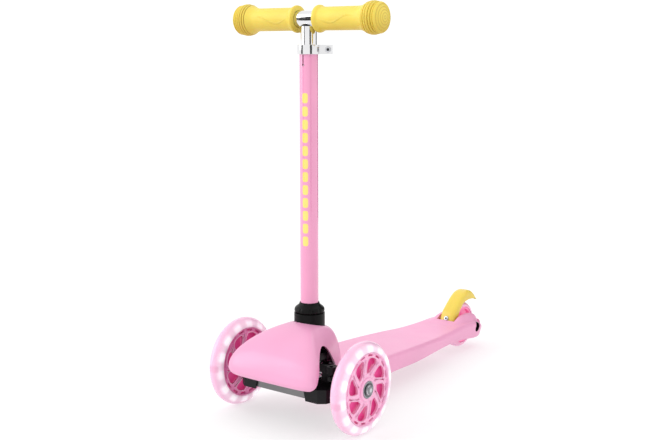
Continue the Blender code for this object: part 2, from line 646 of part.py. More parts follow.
def build_tie_bar():
    """The bar that the leaning column pushes sideways, and that turns both knuckles."""
    y = FRONT_Y - STEER_ARM
    low, high = TIE_HEIGHT - 0.0045, TIE_HEIGHT + 0.0045
    bar = make_object("tie_bar", block((-0.0680, y - 0.0025, low), (0.0680, y + 0.0025, high)),
                      (BLACK, 0.45, 0.0))
    eyes = [moved(rod(0.0060, low, high, 14), at(side * KINGPIN_X, y, 0)) for side in (-1, 1)]
    join(bar, *eyes)
    slots = [block((side * KINGPIN_X - 0.0023, y - 0.0030, 0.07), (side * KINGPIN_X + 0.0023, y + 0.0030, 0.10))
             for side in (-1, 1)]
    middle = block((-0.0028, y - 0.01, TIE_HEIGHT - 0.0033), (0.0028, y + 0.01, TIE_HEIGHT + 0.0033))
    cut(bar, middle, *slots)


# ---------------------------------------------------------------- wheels
def round_tyre(outer, inner, half_width, steps, sides=4):
    """A tyre ring about Z whose tread is half an ellipse."""
    chamfer = 0.0008
    shoulder = inner + 1.5 * chamfer
    profile = [(inner, -half_width + chamfer), (inner + chamfer, -half_width)]
    for side in range(2 * sides + 1):
        turn = -pi / 2 + pi * side / (2 * sides)
        profile.append((shoulder + (outer - shoulder) * cos(turn), half_width * sin(turn)))
    profile += [(inner + chamfer, half_width), (inner, half_width - chamfer)]
    return turned(profile, steps)


def bearing():
    """A ball bearing's outer shape as one ring."""
    return sleeve(BEARING_RADIUS, BEARING_BORE, -BEARING_WIDTH / 2, BEARING_WIDTH / 2, 18)


def window_outline(centre_turn):
    """One swept teardrop opening of a hub, pointed near the middle."""
    outline = []
    corners = ((0.0200, 0.0, 0.0), (0.0310, 10.5, 11.0), (0.0395, 10.0, 22.0))
    for radius, spread, sweep in corners:
        outline.append((radius, centre_turn + sweep - spread))
    for radius, spread, sweep in corners[:0:-1]:
        outline.append((radius, centre_turn + sweep + spread))
    return [(radius * cos(radians(turn)), radius * sin(radians(turn))) for radius, turn in outline]


def build_front_wheel(side, name):
    centre = (side * HALF_TRACK, FRONT_Y, FRONT_RADIUS)
    place = at(*centre) @ Matrix.Diagonal((side, 1, 1, 1)) @ ALONG_X
    tyre = round_tyre(FRONT_RADIUS, RIM_RADIUS + GAP, TYRE_HALF_WIDTH, 36)
    make_object(f"tyre_{name}", tyre, (PALE_PINK, 0.35, 0.0), place, centre)
    seat = BEARING_RADIUS + GAP
    for face, label in ((1, "hub_outer"), (-1, "hub_inner")):
        profile = [(seat, 0.0019), (RIM_RADIUS, 0.0019), (RIM_RADIUS, 0.0102), (0.0415, 0.0102),
                   (0.0415, 0.0084), (0.0150, 0.0084), (0.0150, 0.0106), (seat, 0.0106)]
        half_hub = turned(profile, 28)
        mirrored = Matrix.Diagonal((1, 1, face, 1))
        half_hub.transform(place @ mirrored)
        hub = make_object(f"{label}_{name}", half_hub, (PINK, 0.3, 0.0), None, centre)
        for window in range(8):
            tool = prism(window_outline(45 * window), 0.0, 0.020)
            tool.transform(place @ mirrored)
            cut(hub, tool)
    core = turned([(seat, -0.0016), (RIM_RADIUS, -0.0016), (RIM_RADIUS, 0.0016), (seat, 0.0016)], 32)
    make_object(f"light_core_{name}", core, (MAGENTA, 0.3, 0.0), place, centre)
    for offset, label in ((0.0075, "bearing_outer"), (-0.0075, "bearing_inner")):
        make_object(f"{label}_{name}", bearing(), (STEEL, 0.25, 1.0), place @ at(0, 0, offset), centre)


def build_rear_wheel():
    centre = (0, REAR_Y, REAR_RADIUS)
    place = at(*centre) @ ALONG_X
    tyre = round_tyre(REAR_RADIUS, REAR_RIM_RADIUS + GAP, REAR_TYRE_HALF_WIDTH, 28)
    make_object("rear_tyre", tyre, (PALE_PINK, 0.35, 0.0), place, centre)
    seat = BEARING_RADIUS + GAP
    hub = turned([(seat, -0.0108), (0.0145, -0.0108), (0.0160, -0.0055), (0.0245, -0.0055),
                  (0.0257, -0.0092), (REAR_RIM_RADIUS, -0.0092), (REAR_RIM_RADIUS, 0.0092),
                  (0.0257, 0.0092), (0.0245, 0.0055), (0.0160, 0.0055), (0.0145, 0.0108), (seat, 0.0108)], 24)
    make_object("rear_hub", hub, (MAGENTA, 0.3, 0.0), place, centre)
    for side, name in ((-1, "right"), (1, "left")):
        shifted = place @ at(0, 0, side * 0.0072)
        make_object(f"rear_bearing_{name}", bearing(), (STEEL, 0.25, 1.0), shifted, centre)
        low, high = sorted((side * 0.0110, side * (SLOT_HALF_WIDTH - GAP)))
        make_object(f"rear_spacer_{name}", sleeve(0.0060, 0.0042, low, high, 14), (STEEL, 0.3, 1.0), place)
    seat = ARM_SEAT + GAP
    bolt = turned([(0, -0.0268), (BOLT_RADIUS, -0.0268), (BOLT_RADIUS, seat), (0.0062, seat),
                   (0.0062, seat + 0.0017), (0.0046, seat + 0.0030), (0, seat + 0.0030)], 14)
    make_object("rear_axle_bolt", bolt, (STEEL, 0.3, 1.0), place)
    nut = turned([(0.0048, -seat - 0.0036), (0.0072, -seat - 0.0036), (0.0072, -seat), (0.0048, -seat)], 6)
    make_object("rear_axle_nut", nut, (STEEL, 0.3, 1.0), place)


# ---------------------------------------------------------------- foot brake
BRAKE_OUTER = [(0.3785, 0.0462), (0.3798, 0.0480), (0.3806, 0.0505), (0.3845, 0.0588), (0.3884, 0.0646),
               (0.3963, 0.0713), (0.4050, 0.0780), (0.4144, 0.0845), (0.4240, 0.0892), (0.4330, 0.0910),
               (0.4410, 0.0903), (0.4480, 0.0862), (0.4540, 0.0808), (0.4586, 0.0756)]
BRAKE_EDGE = [(0.4580, 0.0742), (0.4500, 0.0752), (0.4398, 0.0768), (0.4280, 0.0771), (0.4167, 0.0748),
              (0.4088, 0.0693), (0.4020, 0.0624), (0.3980, 0.0549), (0.3925, 0.0487), (0.3870, 0.0440),
              (0.3820, 0.0408), (0.3765, 0.0393)]
BRAKE_HOLLOW = [(0.3822, 0.0300), (0.3822, 0.0440), (0.3832, 0.0480), (0.3850, 0.0520), (0.3877, 0.0573),
                (0.3908, 0.0622), (0.3984, 0.0690), (0.4070, 0.0756), (0.4160, 0.0820), (0.4250, 0.0862),
                (0.4330, 0.0878), (0.4400, 0.0872), (0.4460, 0.0838), (0.4520, 0.0784), (0.4550, 0.0750),
                (0.4560, 0.0300)]
BRAKE_PAD = [(0.4110, 0.0752), (0.4160, 0.0758), (0.4210, 0.0760), (0.4260, 0.0755), (0.4260, 0.0862),
             (0.4200, 0.0834), (0.4120, 0.0786)]
BRAKE_SCREW = (0.3819, 0.0534)
BRAKE_SLOPE = 27


def brake_prism(outline, half_width):
    """A side outline (back from the front axle, up), drawn across the scooter."""
    return side_prism([(FRONT_Y + along, up) for along, up in outline], -half_width, half_width)


def build_brake():
    pivot = (0, BRAKE_Y, BRAKE_HEIGHT)
    line = at(*pivot) @ ALONG_X
    lever = make_object("brake_lever", brake_prism(BRAKE_OUTER + BRAKE_EDGE, BRAKE_HALF_WIDTH),
                        (YELLOW, 0.42, 0.0), None, pivot)
    cut(lever, brake_prism(BRAKE_HOLLOW, CHEEK_INNER))
    reach = SLOT_HALF_WIDTH - GAP
    join(lever, moved(rod(0.0040, -reach, reach, 18), line))
    face = at(0, FRONT_Y + BRAKE_SCREW[0], BRAKE_SCREW[1]) @ Matrix.Rotation(radians(90 - BRAKE_SLOPE), 4, "X")
    spring_notch = block((-0.0036, BRAKE_Y - 0.0050, 0.0380), (0.0036, BRAKE_Y + 0.0040, 0.0474))
    cut(lever, spring_notch, moved(rod(BRAKE_PIN_RADIUS + GAP, -0.030, 0.030, 16), line),
        moved(rod(0.0018, -0.010, 0.010, 12), face))
    make_object("brake_pad", brake_prism(BRAKE_PAD, 0.0085), (BLACK, 0.8, 0.0), None, pivot)
    make_object("brake_pin", rod(BRAKE_PIN_RADIUS, -0.0297, 0.0256, 16), (STEEL, 0.2, 1.0), line)
    screw = turned([(0, -0.0024), (0.0015, -0.0024), (0.0015, 0.0003), (0.0040, 0.0003), (0.0040, 0.0014),
                    (0.0032, 0.0023), (0, 0.0023)], 18)
    make_object("brake_screw", screw, (STEEL, 0.2, 1.0), face)
    coil = helix(0.0033, 0.0005, -0.0028, 0.0028, 3, 8)
    make_object("brake_spring", coil, (STEEL, 0.3, 1.0), line)


def main():
    clear_scene()
    build_deck()
    build_hood()
    build_steering_block()
    build_lean_pivot()
    build_column()
    build_clamp()
    build_tee()
    build_front_axle()
    for side, name in ((-1, "right"), (1, "left")):
        build_knuckle(side, name)
        build_front_wheel(side, name)
    build_tie_bar()
    build_rear_wheel()
    build_brake()


main()
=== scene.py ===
"""Looks of a child's three-wheeled kick scooter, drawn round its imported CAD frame.

Row frame, metres: +Z up, the rider faces -Y, the rider's left is +X.
"""

from math import atan2, cos, pi, radians, sin

import bmesh
import bpy
from mathutils import Matrix, Vector


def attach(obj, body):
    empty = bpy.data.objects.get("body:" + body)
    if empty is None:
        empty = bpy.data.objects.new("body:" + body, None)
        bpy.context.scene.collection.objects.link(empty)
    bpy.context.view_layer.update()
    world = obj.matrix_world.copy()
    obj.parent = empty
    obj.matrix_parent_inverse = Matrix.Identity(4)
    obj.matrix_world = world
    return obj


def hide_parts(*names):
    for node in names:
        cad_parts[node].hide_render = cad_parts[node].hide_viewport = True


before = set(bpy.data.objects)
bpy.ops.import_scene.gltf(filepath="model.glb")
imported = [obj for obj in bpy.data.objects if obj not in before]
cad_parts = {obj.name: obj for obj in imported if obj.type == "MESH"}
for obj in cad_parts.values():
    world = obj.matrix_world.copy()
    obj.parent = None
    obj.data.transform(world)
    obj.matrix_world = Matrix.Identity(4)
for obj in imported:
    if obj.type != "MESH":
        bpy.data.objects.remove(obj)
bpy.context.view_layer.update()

# ---------------------------------------------------------------- places
FRONT_Y = -0.19555
REAR_Y = FRONT_Y + 0.420
COLUMN_Y = FRONT_Y + 0.023
FRONT_RADIUS = 0.060
REAR_RADIUS = 0.037
HALF_TRACK = 0.100
RIM_RADIUS = 0.0467
TUBE_RADIUS = 0.0120
TUBE_FOOT = 0.0970
TUBE_TOP = 0.4862
BAR_HEIGHT = 0.5185
SIDES = ((1, "left"), (-1, "right"))
TYRE_HALF_WIDTH = 0.0103
REAR_TYRE_HALF_WIDTH = 0.0100
REAR_RIM_RADIUS = 0.0288
GRIP_REACH = 0.1159
BULB_PITCH = 0.0034
CROSSBAR_REACH = 0.0980
BRAKE_PIN = (0.3765, 0.0430)
BRAKE_SCREW = (0.3819, 0.0534)
BRAKE_SCREW_TILT = 63
WORLD = 1.08

ALONG_X = Matrix.Rotation(pi / 2, 4, "Y")
ALONG_Y = Matrix.Rotation(-pi / 2, 4, "X")


def at(x, y, z):
    return Matrix.Translation((x, y, z))


# ---------------------------------------------------------------- shapes
def placed(name, data):
    """A new object in the scene that holds the given data."""
    obj = bpy.data.objects.new(name, data)
    bpy.context.scene.collection.objects.link(obj)
    return obj


def add_object(name, bm, origin=(0.0, 0.0, 0.0), sharp=38):
    """A smooth-shaded object from a bmesh drawn in the row frame."""
    bmesh.ops.remove_doubles(bm, verts=bm.verts, dist=1e-7)
    bmesh.ops.recalc_face_normals(bm, faces=bm.faces)
    bm.transform(Matrix.Translation(-Vector(origin)))
    mesh = bpy.data.meshes.new(name)
    bm.to_mesh(mesh)
    bm.free()
    mesh.shade_smooth()
    mesh.set_sharp_from_angle(angle=radians(sharp))
    obj = placed(name, mesh)
    obj.location = origin
    return obj


def rounded(points, radius, steps=4, closed=True):
    """A polygon with its corners softened by short curves."""
    count = len(points)
    out = []
    for index, point in enumerate(points):
        corner = Vector(point)
        if not closed and index in (0, count - 1):
            out.append(corner)
            continue
        before = Vector(points[index - 1]) - corner
        after = Vector(points[(index + 1) % count]) - corner
        reach = min(radius, 0.45 * before.length, 0.45 * after.length)
        start = corner + before.normalized() * reach
        end = corner + after.normalized() * reach
        for step in range(steps + 1):
            t = step / steps
            out.append((1 - t) ** 2 * start + 2 * t * (1 - t) * corner + t * t * end)
    return out


def curve_through(points, steps):
    """Points along a Catmull-Rom curve."""
    nodes = [Vector(point) for point in points]
    nodes = [2 * nodes[0] - nodes[1]] + nodes + [2 * nodes[-1] - nodes[-2]]
    out = []
    for before, start, end, after in zip(nodes, nodes[1:], nodes[2:], nodes[3:]):
        for step in range(steps):
            t = step / steps
            out.append(0.5 * (2 * start + (end - before) * t
                              + (2 * before - 5 * start + 4 * end - after) * t ** 2
                              + (3 * start - before - 3 * end + after) * t ** 3))
    out.append(nodes[-2])
    return out


def ring_faces(bm, lower, upper):
    """Faces between two rings, either of which may be one vertex."""
    steps = max(len(lower), len(upper))
    if len(lower) == len(upper) == 1:
        return
    for step in range(steps):
        following = (step + 1) % steps
        corners = [lower[0]] if len(lower) == 1 else [lower[step], lower[following]]
        corners += [upper[0]] if len(upper) == 1 else [upper[following], upper[step]]
        bm.faces.new(corners)


def turned(profile, steps=96, wave=None):
    """A solid of revolution about Z; wave(turn, radius, height) may shift each point's radius."""
    bm = bmesh.new()
    rings = []
    for radius, height in profile:
        if radius < 1e-7:
            rings.append([bm.verts.new((0.0, 0.0, height))])
            continue
        ring = []
        for step in range(steps):
            turn = 2 * pi * step / steps
            far = radius + (wave(turn, radius, height) if wave else 0.0)
            ring.append(bm.verts.new((far * sin(turn), -far * cos(turn), height)))
        rings.append(ring)
    for lower, upper in zip(rings, rings[1:]):
        ring_faces(bm, lower, upper)
    if profile[0][0] > 1e-7:
        ring_faces(bm, rings[-1], rings[0])
    return bm


def rod(radius, low, high, steps):
    """A plain cylinder along Z, or a prism where the steps are few."""
    return turned([(0, low), (radius, low), (radius, high), (0, high)], steps)


def sleeve_profile(outer, inner, low, high, radius=0.0004):
    return rounded([(inner, low), (outer, low), (outer, high), (inner, high)], radius, 3)


def box_mesh(low, high):
    bm = bmesh.new()
    bmesh.ops.create_cube(bm, size=1.0)
    size = Vector(high) - Vector(low)
    bm.transform(Matrix.Translation((Vector(high) + Vector(low)) / 2) @ Matrix.Diagonal((*size, 1.0)))
    return bm


def side_prism(outline, low_x, high_x):
    """An outline of (y, z) points, drawn across the scooter."""
    bm = bmesh.new()
    near = [bm.verts.new((low_x, y, z)) for y, z in outline]
    far = [bm.verts.new((high_x, y, z)) for y, z in outline]
    ring_faces(bm, near, far)
    bm.faces.new(near)
    bm.faces.new(far)
    return bm


def moved(bm, matrix):
    bm.transform(matrix)
    return bm


def work_with(obj, operation, *tools):
    """Cut the tools from an object, or join them to it."""
    for tool_mesh in tools:
        tool = add_object("tool", tool_mesh)
        modifier = obj.modifiers.new("work", "BOOLEAN")
        modifier.operation = operation
        modifier.object = tool
        modifier.solver = "EXACT"
        view = bpy.context.evaluated_depsgraph_get()
        worked = bpy.data.meshes.new_from_object(obj.evaluated_get(view), depsgraph=view)
        obj.modifiers.remove(modifier)
        obj.data = worked
        bpy.data.objects.remove(tool, do_unlink=True)
    obj.data.materials.clear()
    obj.data.shade_smooth()
    obj.data.set_sharp_from_angle(angle=radians(38))
    return obj


def soften(obj, width, segments=3, angle=38):
    """Rounded edges, which catch the light."""
    modifier = obj.modifiers.new("soft_edges", "BEVEL")
    modifier.width = width
    modifier.segments = segments
    modifier.limit_method = "ANGLE"
    modifier.angle_limit = radians(angle)
    modifier.use_clamp_overlap = True
    modifier.harden_normals = False
    return obj


def add_line(data, points, height, cyclic=True):
    """One straight-sided line of a curve object, at one height."""
    spline = data.splines.new("POLY")
    spline.points.add(len(points) - 1)
    spline.use_cyclic_u = cyclic
    for point, (x, y) in zip(spline.points, points):
        point.co = (x, y, height, 1.0)


def curve_mesh(name, data):
    """The bmesh that a curve's bevel and fill make."""
    holder = placed(name, data)
    view = bpy.context.evaluated_depsgraph_get()
    mesh = bpy.data.meshes.new_from_object(holder.evaluated_get(view), depsgraph=view)
    bpy.data.objects.remove(holder, do_unlink=True)
    bm = bmesh.new()
    bm.from_mesh(mesh)
    return bm


def flat_plate(name, outer, holes, low, high, edge, place, origin):
    """A plate about Z with holes of any outline and rounded edges."""
    data = bpy.data.curves.new(name, "CURVE")
    data.dimensions = "2D"
    data.fill_mode = "BOTH"
    data.extrude = (high - low) / 2 - edge
    data.bevel_depth = edge
    data.bevel_resolution = 2
    data.offset = -edge
    for outline in [outer, *holes]:
        add_line(data, outline, 0.0)
    plate = moved(curve_mesh(name, data), place @ at(0, 0, (low + high) / 2))
    return add_object(name, plate, origin, 50)


def add_key(name, place, radius, height, body):
    """A dark disc at the floor of a screw's six-sided recess: painted shade."""
    floor = rod(radius, height, height + 0.0002, 6)
    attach(oxide_and_recess_shade_look.wear(add_object(name, moved(floor, place))), body)


def polar(radius, degrees):
    return (radius * cos(radians(degrees)), radius * sin(radians(degrees)))


# ---------------------------------------------------------------- materials
class Look:
    """A small builder for one Principled material with object-space procedural detail."""

    def __init__(self, name):
        self.material = bpy.data.materials.new(name)
        self.material.use_nodes = True
        self.tree = self.material.node_tree
        self.shader = self.tree.nodes["Principled BSDF"]
        self.place = self.tree.nodes.new("ShaderNodeTexCoord").outputs["Object"]

    def link(self, source, target):
        self.tree.links.new(source, target)

    def put(self, **values):
        for key, value in values.items():
            self.shader.inputs[key.replace("_", " ")].default_value = value
        return self

    def noise(self, scale, detail=3.0, stretch=None, rough=0.5):
        node = self.tree.nodes.new("ShaderNodeTexNoise")
        node.inputs["Scale"].default_value = scale
        node.inputs["Detail"].default_value = detail
        node.inputs["Roughness"].default_value = rough
        source = self.place
        if stretch:
            mapping = self.tree.nodes.new("ShaderNodeMapping")
            mapping.inputs["Scale"].default_value = stretch
            self.link(self.place, mapping.inputs["Vector"])
            source = mapping.outputs["Vector"]
        self.link(source, node.inputs["Vector"])
        return node.outputs["Fac"]

    def math(self, kind, first, second=None, third=None):
        node = self.tree.nodes.new("ShaderNodeMath")
        node.operation = kind
        for socket, value in zip(node.inputs, (first, second, third)):
            if value is None:
                continue
            if isinstance(value, (int, float)):
                socket.default_value = value
            else:
                self.link(value, socket)
        return node.outputs[0]

    def times(self, first, second):
        return self.math("MULTIPLY", first, second)

    def minus(self, first, second):
        return self.math("SUBTRACT", first, second)

    def absolute(self, value):
        return self.math("ABSOLUTE", value)

    def span(self, value, low, high, to_low=0.0, to_high=1.0, smooth=False):
        node = self.tree.nodes.new("ShaderNodeMapRange")
        if smooth:
            node.interpolation_type = "SMOOTHSTEP"
        node.inputs["From Min"].default_value = low
        node.inputs["From Max"].default_value = high
        node.inputs["To Min"].default_value = to_low
        node.inputs["To Max"].default_value = to_high
        self.link(value, node.inputs["Value"])
        return node.outputs["Result"]

    def mix(self, share, first, second):
        node = self.tree.nodes.new("ShaderNodeMix")
        node.data_type = "RGBA"
        self.set_or_link(node.inputs["Factor"], share)
        first_colour, second_colour = node.inputs[6:8]
        self.set_or_link(first_colour, first)
        self.set_or_link(second_colour, second)
        return node.outputs[2]

    def set_or_link(self, socket, value):
        if hasattr(value, "is_output"):
            self.link(value, socket)
        elif hasattr(value, "__len__"):
            socket.default_value = (*value, 1.0) if len(value) == 3 else value
        else:
            socket.default_value = value

    def split(self):
        node = self.tree.nodes.new("ShaderNodeSeparateXYZ")
        self.link(self.place, node.inputs[0])
        return node.outputs

    def colour(self, base, patch=0.06, scale=18.0):
        """The base colour with a faint, broad unevenness; base is a colour or a socket."""
        node = self.tree.nodes.new("ShaderNodeHueSaturation")
        self.link(self.span(self.noise(scale, 2.0), 0.3, 0.7, 1 - patch, 1 + patch), node.inputs["Value"])
        self.set_or_link(node.inputs["Color"], base)
        self.link(node.outputs["Color"], self.shader.inputs["Base Color"])
        return self

    def rough(self, value, spread=0.05, scale=40.0, stretch=None):
        patch = self.noise(scale, 4.0, stretch)
        self.link(self.span(patch, 0.3, 0.7, value - spread, value + spread), self.shader.inputs["Roughness"])
        return self

    def bump(self, scale, distance, detail=2.0, stretch=None, height=None):
        node = self.tree.nodes.new("ShaderNodeBump")
        node.inputs["Strength"].default_value = 1.0
        node.inputs["Distance"].default_value = distance
        self.link(height if height is not None else self.noise(scale, detail, stretch), node.inputs["Height"])
        self.link(node.outputs["Normal"], self.shader.inputs["Normal"])
        return self

    def wear(self, obj):
        obj.data.materials.clear()
        obj.data.materials.append(self.material)
        return obj


def plastic(name, colour, rough=0.38, grain=0.00002, scale=900.0, coat=0.0):
    """Moulded plastic: spark-eroded grain, faint flow marks and uneven gloss."""
    look = Look(name).colour(colour, 0.035, 14.0).rough(rough, 0.05, 30.0).bump(scale, grain)
    return look.put(Coat_Weight=coat, Coat_Roughness=0.12, Specular_IOR_Level=0.5)


def metal(name, colour, rough, stretch=None, grain=0.000006, scale=500.0):
    """Bare metal with fine marks; stretch lays them one way."""
    look = Look(name).colour(colour, 0.05, 25.0).rough(rough, 0.04, 90.0, stretch)
    return look.bump(scale, grain, 3.0, stretch).put(Metallic=1.0)


PINK = (0.82, 0.36, 0.56)
# The deck's pink about 5% darker, worn by the hood: painted shade over the whole hood.
PINK_WITH_HOOD_SHADE = (0.775, 0.34, 0.535)
HUB_PINK = (0.92, 0.43, 0.65)
MAGENTA = (0.78, 0.10, 0.33)
YELLOW = (0.76, 0.57, 0.070)
BLACK = (0.006, 0.006, 0.007)

deck_look = plastic("deck_pink", PINK, 0.40, 0.00003, 1400.0)
hood_look = plastic("hood_pink_painted_shade", PINK_WITH_HOOD_SHADE, 0.34, 0.00002, 1500.0, 0.25)
black_look = plastic("nylon_black", BLACK, 0.45, 0.00004, 1100.0).put(Specular_IOR_Level=0.22)
socket_look = plastic("socket_black", (0.004, 0.004, 0.004), 0.32, 0.00002, 1300.0)
socket_look.put(Specular_IOR_Level=0.12)
rib_look = plastic("rib_pink", (0.86, 0.43, 0.63), 0.25, 0.00001, 1300.0, 0.4)
chrome_look = metal("chrome", (0.78, 0.78, 0.79), 0.08, (1.0, 1.0, 0.15), 0.000002)
steel_look = metal("zinc_steel", (0.62, 0.63, 0.66), 0.28)
alu_look = metal("satin_aluminium", (0.20, 0.195, 0.20), 0.36, (0.06, 1.0, 1.0), 0.00001, 900.0)
bearing_look = metal("bearing_steel", (0.36, 0.37, 0.39), 0.22)
shield_look = metal("bearing_shield", (0.16, 0.165, 0.18), 0.32)
pad_look = plastic("pad_rubber", (0.02, 0.02, 0.02), 0.8, 0.0001, 700.0)
spring_look = metal("spring_steel", (0.50, 0.50, 0.52), 0.25)
core_look = plastic("core_magenta", MAGENTA, 0.24, 0.00001, 1200.0, 0.6)
core_look.put(Emission_Color=(0.75, 0.06, 0.28, 1.0), Emission_Strength=0.22)
# Painted glow: the rear hub holds no lamp, yet its magenta is given a faint emission.
rear_hub_glow_look = plastic("rear_hub_magenta_painted_glow", (0.86, 0.20, 0.42), 0.3, 0.00001, 1200.0, 0.3)
rear_hub_glow_look.put(Emission_Color=(0.80, 0.12, 0.34, 1.0), Emission_Strength=0.25)
inner_hub_look = plastic("inner_hub_magenta", (0.80, 0.20, 0.45), 0.27, 0.00001, 1300.0, 0.4)
# Black oxide on the rear axle bolt, its nut and the brake pin, with painted shade: it darkens them in their
# sunk holes and the discs at the floors of hex recesses.
oxide_and_recess_shade_look = metal("black_oxide_and_painted_recess_shade", (0.05, 0.05, 0.055), 0.35)
screw_look = metal("screw_dark_steel", (0.26, 0.26, 0.28), 0.30)
# Painted shade: black sleeves in the rear axle's sunk holes, standing for the shade deep inside them.
hole_shade_look = plastic("painted_hole_shade_black", (0.004, 0.004, 0.004), 0.5).put(Specular_IOR_Level=0.1)
hub_look = plastic("hub_pink", HUB_PINK, 0.27, 0.00001, 1300.0, 0.5)
hub_look.put(Subsurface_Weight=0.15, Subsurface_Scale=0.004)
hub_look.put(Subsurface_Radius=(1.0, 0.35, 0.5))


def tube_paint():
    """Gloss pink powder coat with an upright row of plain yellow dashes."""
    look = Look("tube_pink")
    x, y, z = look.split()
    low, high, pitch = 0.2270, 0.4285, 0.01675
    turn = look.math("ARCTAN2", x, look.times(y, -1.0))
    across = look.absolute(look.minus(turn, 0.22))
    place_in_row = look.math("DIVIDE", look.minus(z, low), pitch)
    phase = look.absolute(look.minus(look.math("FRACT", place_in_row), 0.5))
    long_way = look.math("POWER", look.math("DIVIDE", phase, 0.38), 4.0)
    wide_way = look.math("POWER", look.math("DIVIDE", across, 0.33), 4.0)
    shape = look.math("ADD", long_way, wide_way)
    print_on = look.span(shape, 0.92, 1.08, 1.0, 0.0)
    inside = look.times(look.math("GREATER_THAN", z, low), look.math("LESS_THAN", z, high))
    print_on = look.times(print_on, inside)
    look.colour(look.mix(print_on, (0.80, 0.315, 0.51), (0.88, 0.70, 0.16)), 0.03, 20.0)
    look.rough(0.20, 0.04, 60.0).bump(700.0, 0.000012)
    return look.put(Coat_Weight=0.7, Coat_Roughness=0.06, Metallic=0.0)


def tyre_glow(name, patch_turn):
    """Milky cast polyurethane lit from inside: a ring of soft white glows and one unlit patch."""
    look = Look(name)
    x, y, z = look.split()
    turn = look.math("ARCTAN2", z, y)
    away = look.math("SQRT", look.math("ADD", look.times(y, y), look.times(z, z)))
    lobes = look.math("COSINE", look.times(look.minus(turn, 1.46), 14.0))
    lobes = look.span(lobes, -0.9, 0.8, 0.38, 1.0, True)
    drift = look.span(look.noise(30.0, 2.0), 0.35, 0.65, 0.75, 1.1)
    from_ring = look.absolute(look.minus(away, 0.0520))
    band = look.span(from_ring, 0.0010, 0.0078, 1.0, 0.0, True)
    side = look.span(look.absolute(x), 0.0025, 0.0070, 0.0, 1.0, True)
    glow = look.times(look.times(lobes, band), look.times(side, drift))
    offset = look.absolute(look.minus(turn, patch_turn))
    wrapped = look.math("MINIMUM", offset, look.minus(2 * pi, offset))
    unlit = look.span(wrapped, 0.035, 0.110, 1.0, 0.0, True)
    unlit = look.times(unlit, look.span(away, 0.0545, 0.0570, 0.0, 1.0, True))
    unlit = look.times(unlit, look.span(look.noise(60.0, 1.0), 0.3, 0.7, 0.75, 1.0))
    body = look.mix(glow, (0.84, 0.50, 0.68), (0.93, 0.86, 0.91))
    body = look.mix(look.times(unlit, 0.75), body, (0.82, 0.40, 0.58))
    look.colour(body, 0.02, 25.0).rough(0.24, 0.05, 50.0).bump(500.0, 0.00002)
    look.put(Subsurface_Weight=0.55, Subsurface_Scale=0.006, Subsurface_Radius=(1.0, 0.75, 0.85))
    look.put(Coat_Weight=0.35, Coat_Roughness=0.10)
    look.link(look.mix(glow, (1.0, 0.82, 0.90), (1.0, 0.97, 0.99)), look.shader.inputs["Emission Color"])
    strength = look.math("ADD", look.times(glow, 0.30), 0.02)
    strength = look.times(strength, look.minus(1.0, look.times(unlit, 0.9)))
    look.link(strength, look.shader.inputs["Emission Strength"])
    return look


def grip_rubber():
    """Soft yellow rubber with painted shade low down and in the grooves, and raised curved ridges."""
    look = Look("grip_yellow")
    x, y, z = look.split()
    # Painted shade: the rubber turns a deeper orange towards the bottom of each grip.
    shade = look.span(z, -0.019, 0.010, 1.0, 0.0, True)
    body = look.mix(look.times(shade, 0.75), (0.82, 0.64, 0.095), (0.56, 0.38, 0.035))
    far = look.math("SQRT", look.math("ADD", look.times(y, y), look.times(z, z)))
    along = look.absolute(x)
    # Painted shade: dark lines in the bulb's grooves and rings on the end face, mixed in as a deep orange
    # below.
    step = look.math("FRACT", look.math("DIVIDE", look.minus(along, 0.0908), BULB_PITCH))
    line = look.span(look.absolute(look.minus(step, 0.5)), 0.06, 0.22, 1.0, 0.0, True)
    bulb = look.times(look.span(along, 0.0912, 0.0920, 0.0, 1.0),
                     look.span(along, 0.1085, 0.1095, 1.0, 0.0))
    line = look.times(line, bulb)
    step = look.math("FRACT", look.math("DIVIDE", far, 0.0036))
    ring = look.span(look.absolute(look.minus(step, 0.5)), 0.05, 0.20, 1.0, 0.0, True)
    ring = look.times(ring, look.span(along, 0.1115, 0.1125, 0.0, 0.7))
    # The grooves' and rings' painted shade, a deep orange, goes into the rubber's colour here.
    body = look.mix(look.times(look.math("MAXIMUM", line, ring), 0.75), body, (0.42, 0.25, 0.02))
    look.colour(body, 0.04, 35.0).rough(0.46, 0.06, 45.0)
    wave = look.times(look.math("SINE", look.times(along, 110.0)), 0.0045)
    bow = look.minus(look.math("ADD", z, 0.001), wave)
    ridge = look.span(look.absolute(bow), 0.0, 0.0016, 1.0, 0.0, True)
    ends = look.times(look.span(along, 0.026, 0.032, 0.0, 1.0),
                     look.span(along, 0.070, 0.078, 1.0, 0.0))
    front = look.span(y, -0.002, -0.006, 0.0, 1.0)
    ridge = look.times(look.times(ridge, ends), front)
    height = look.math("ADD", look.times(ridge, 0.0006),
                       look.times(look.noise(900.0, 2.0), 0.00006))
    look.bump(0.0, 1.0, height=height)
    return look.put(Subsurface_Weight=0.08, Subsurface_Scale=0.003, Specular_IOR_Level=0.45)


# ---------------------------------------------------------------- deck and hood
def smooth_step(value):
    value = min(max(value, 0.0), 1.0)
    return value * value * (3 - 2 * value)


def table(points):
    curve = curve_through(points, 12)

    def value_at(position):
        if position <= curve[0][0]:
            return curve[0][1]
        for start, end in zip(curve, curve[1:]):
            if position <= end[0]:
                return start[1] + (position - start[0]) / (end[0] - start[0]) * (end[1] - start[1])
        return curve[-1][1]
    return value_at


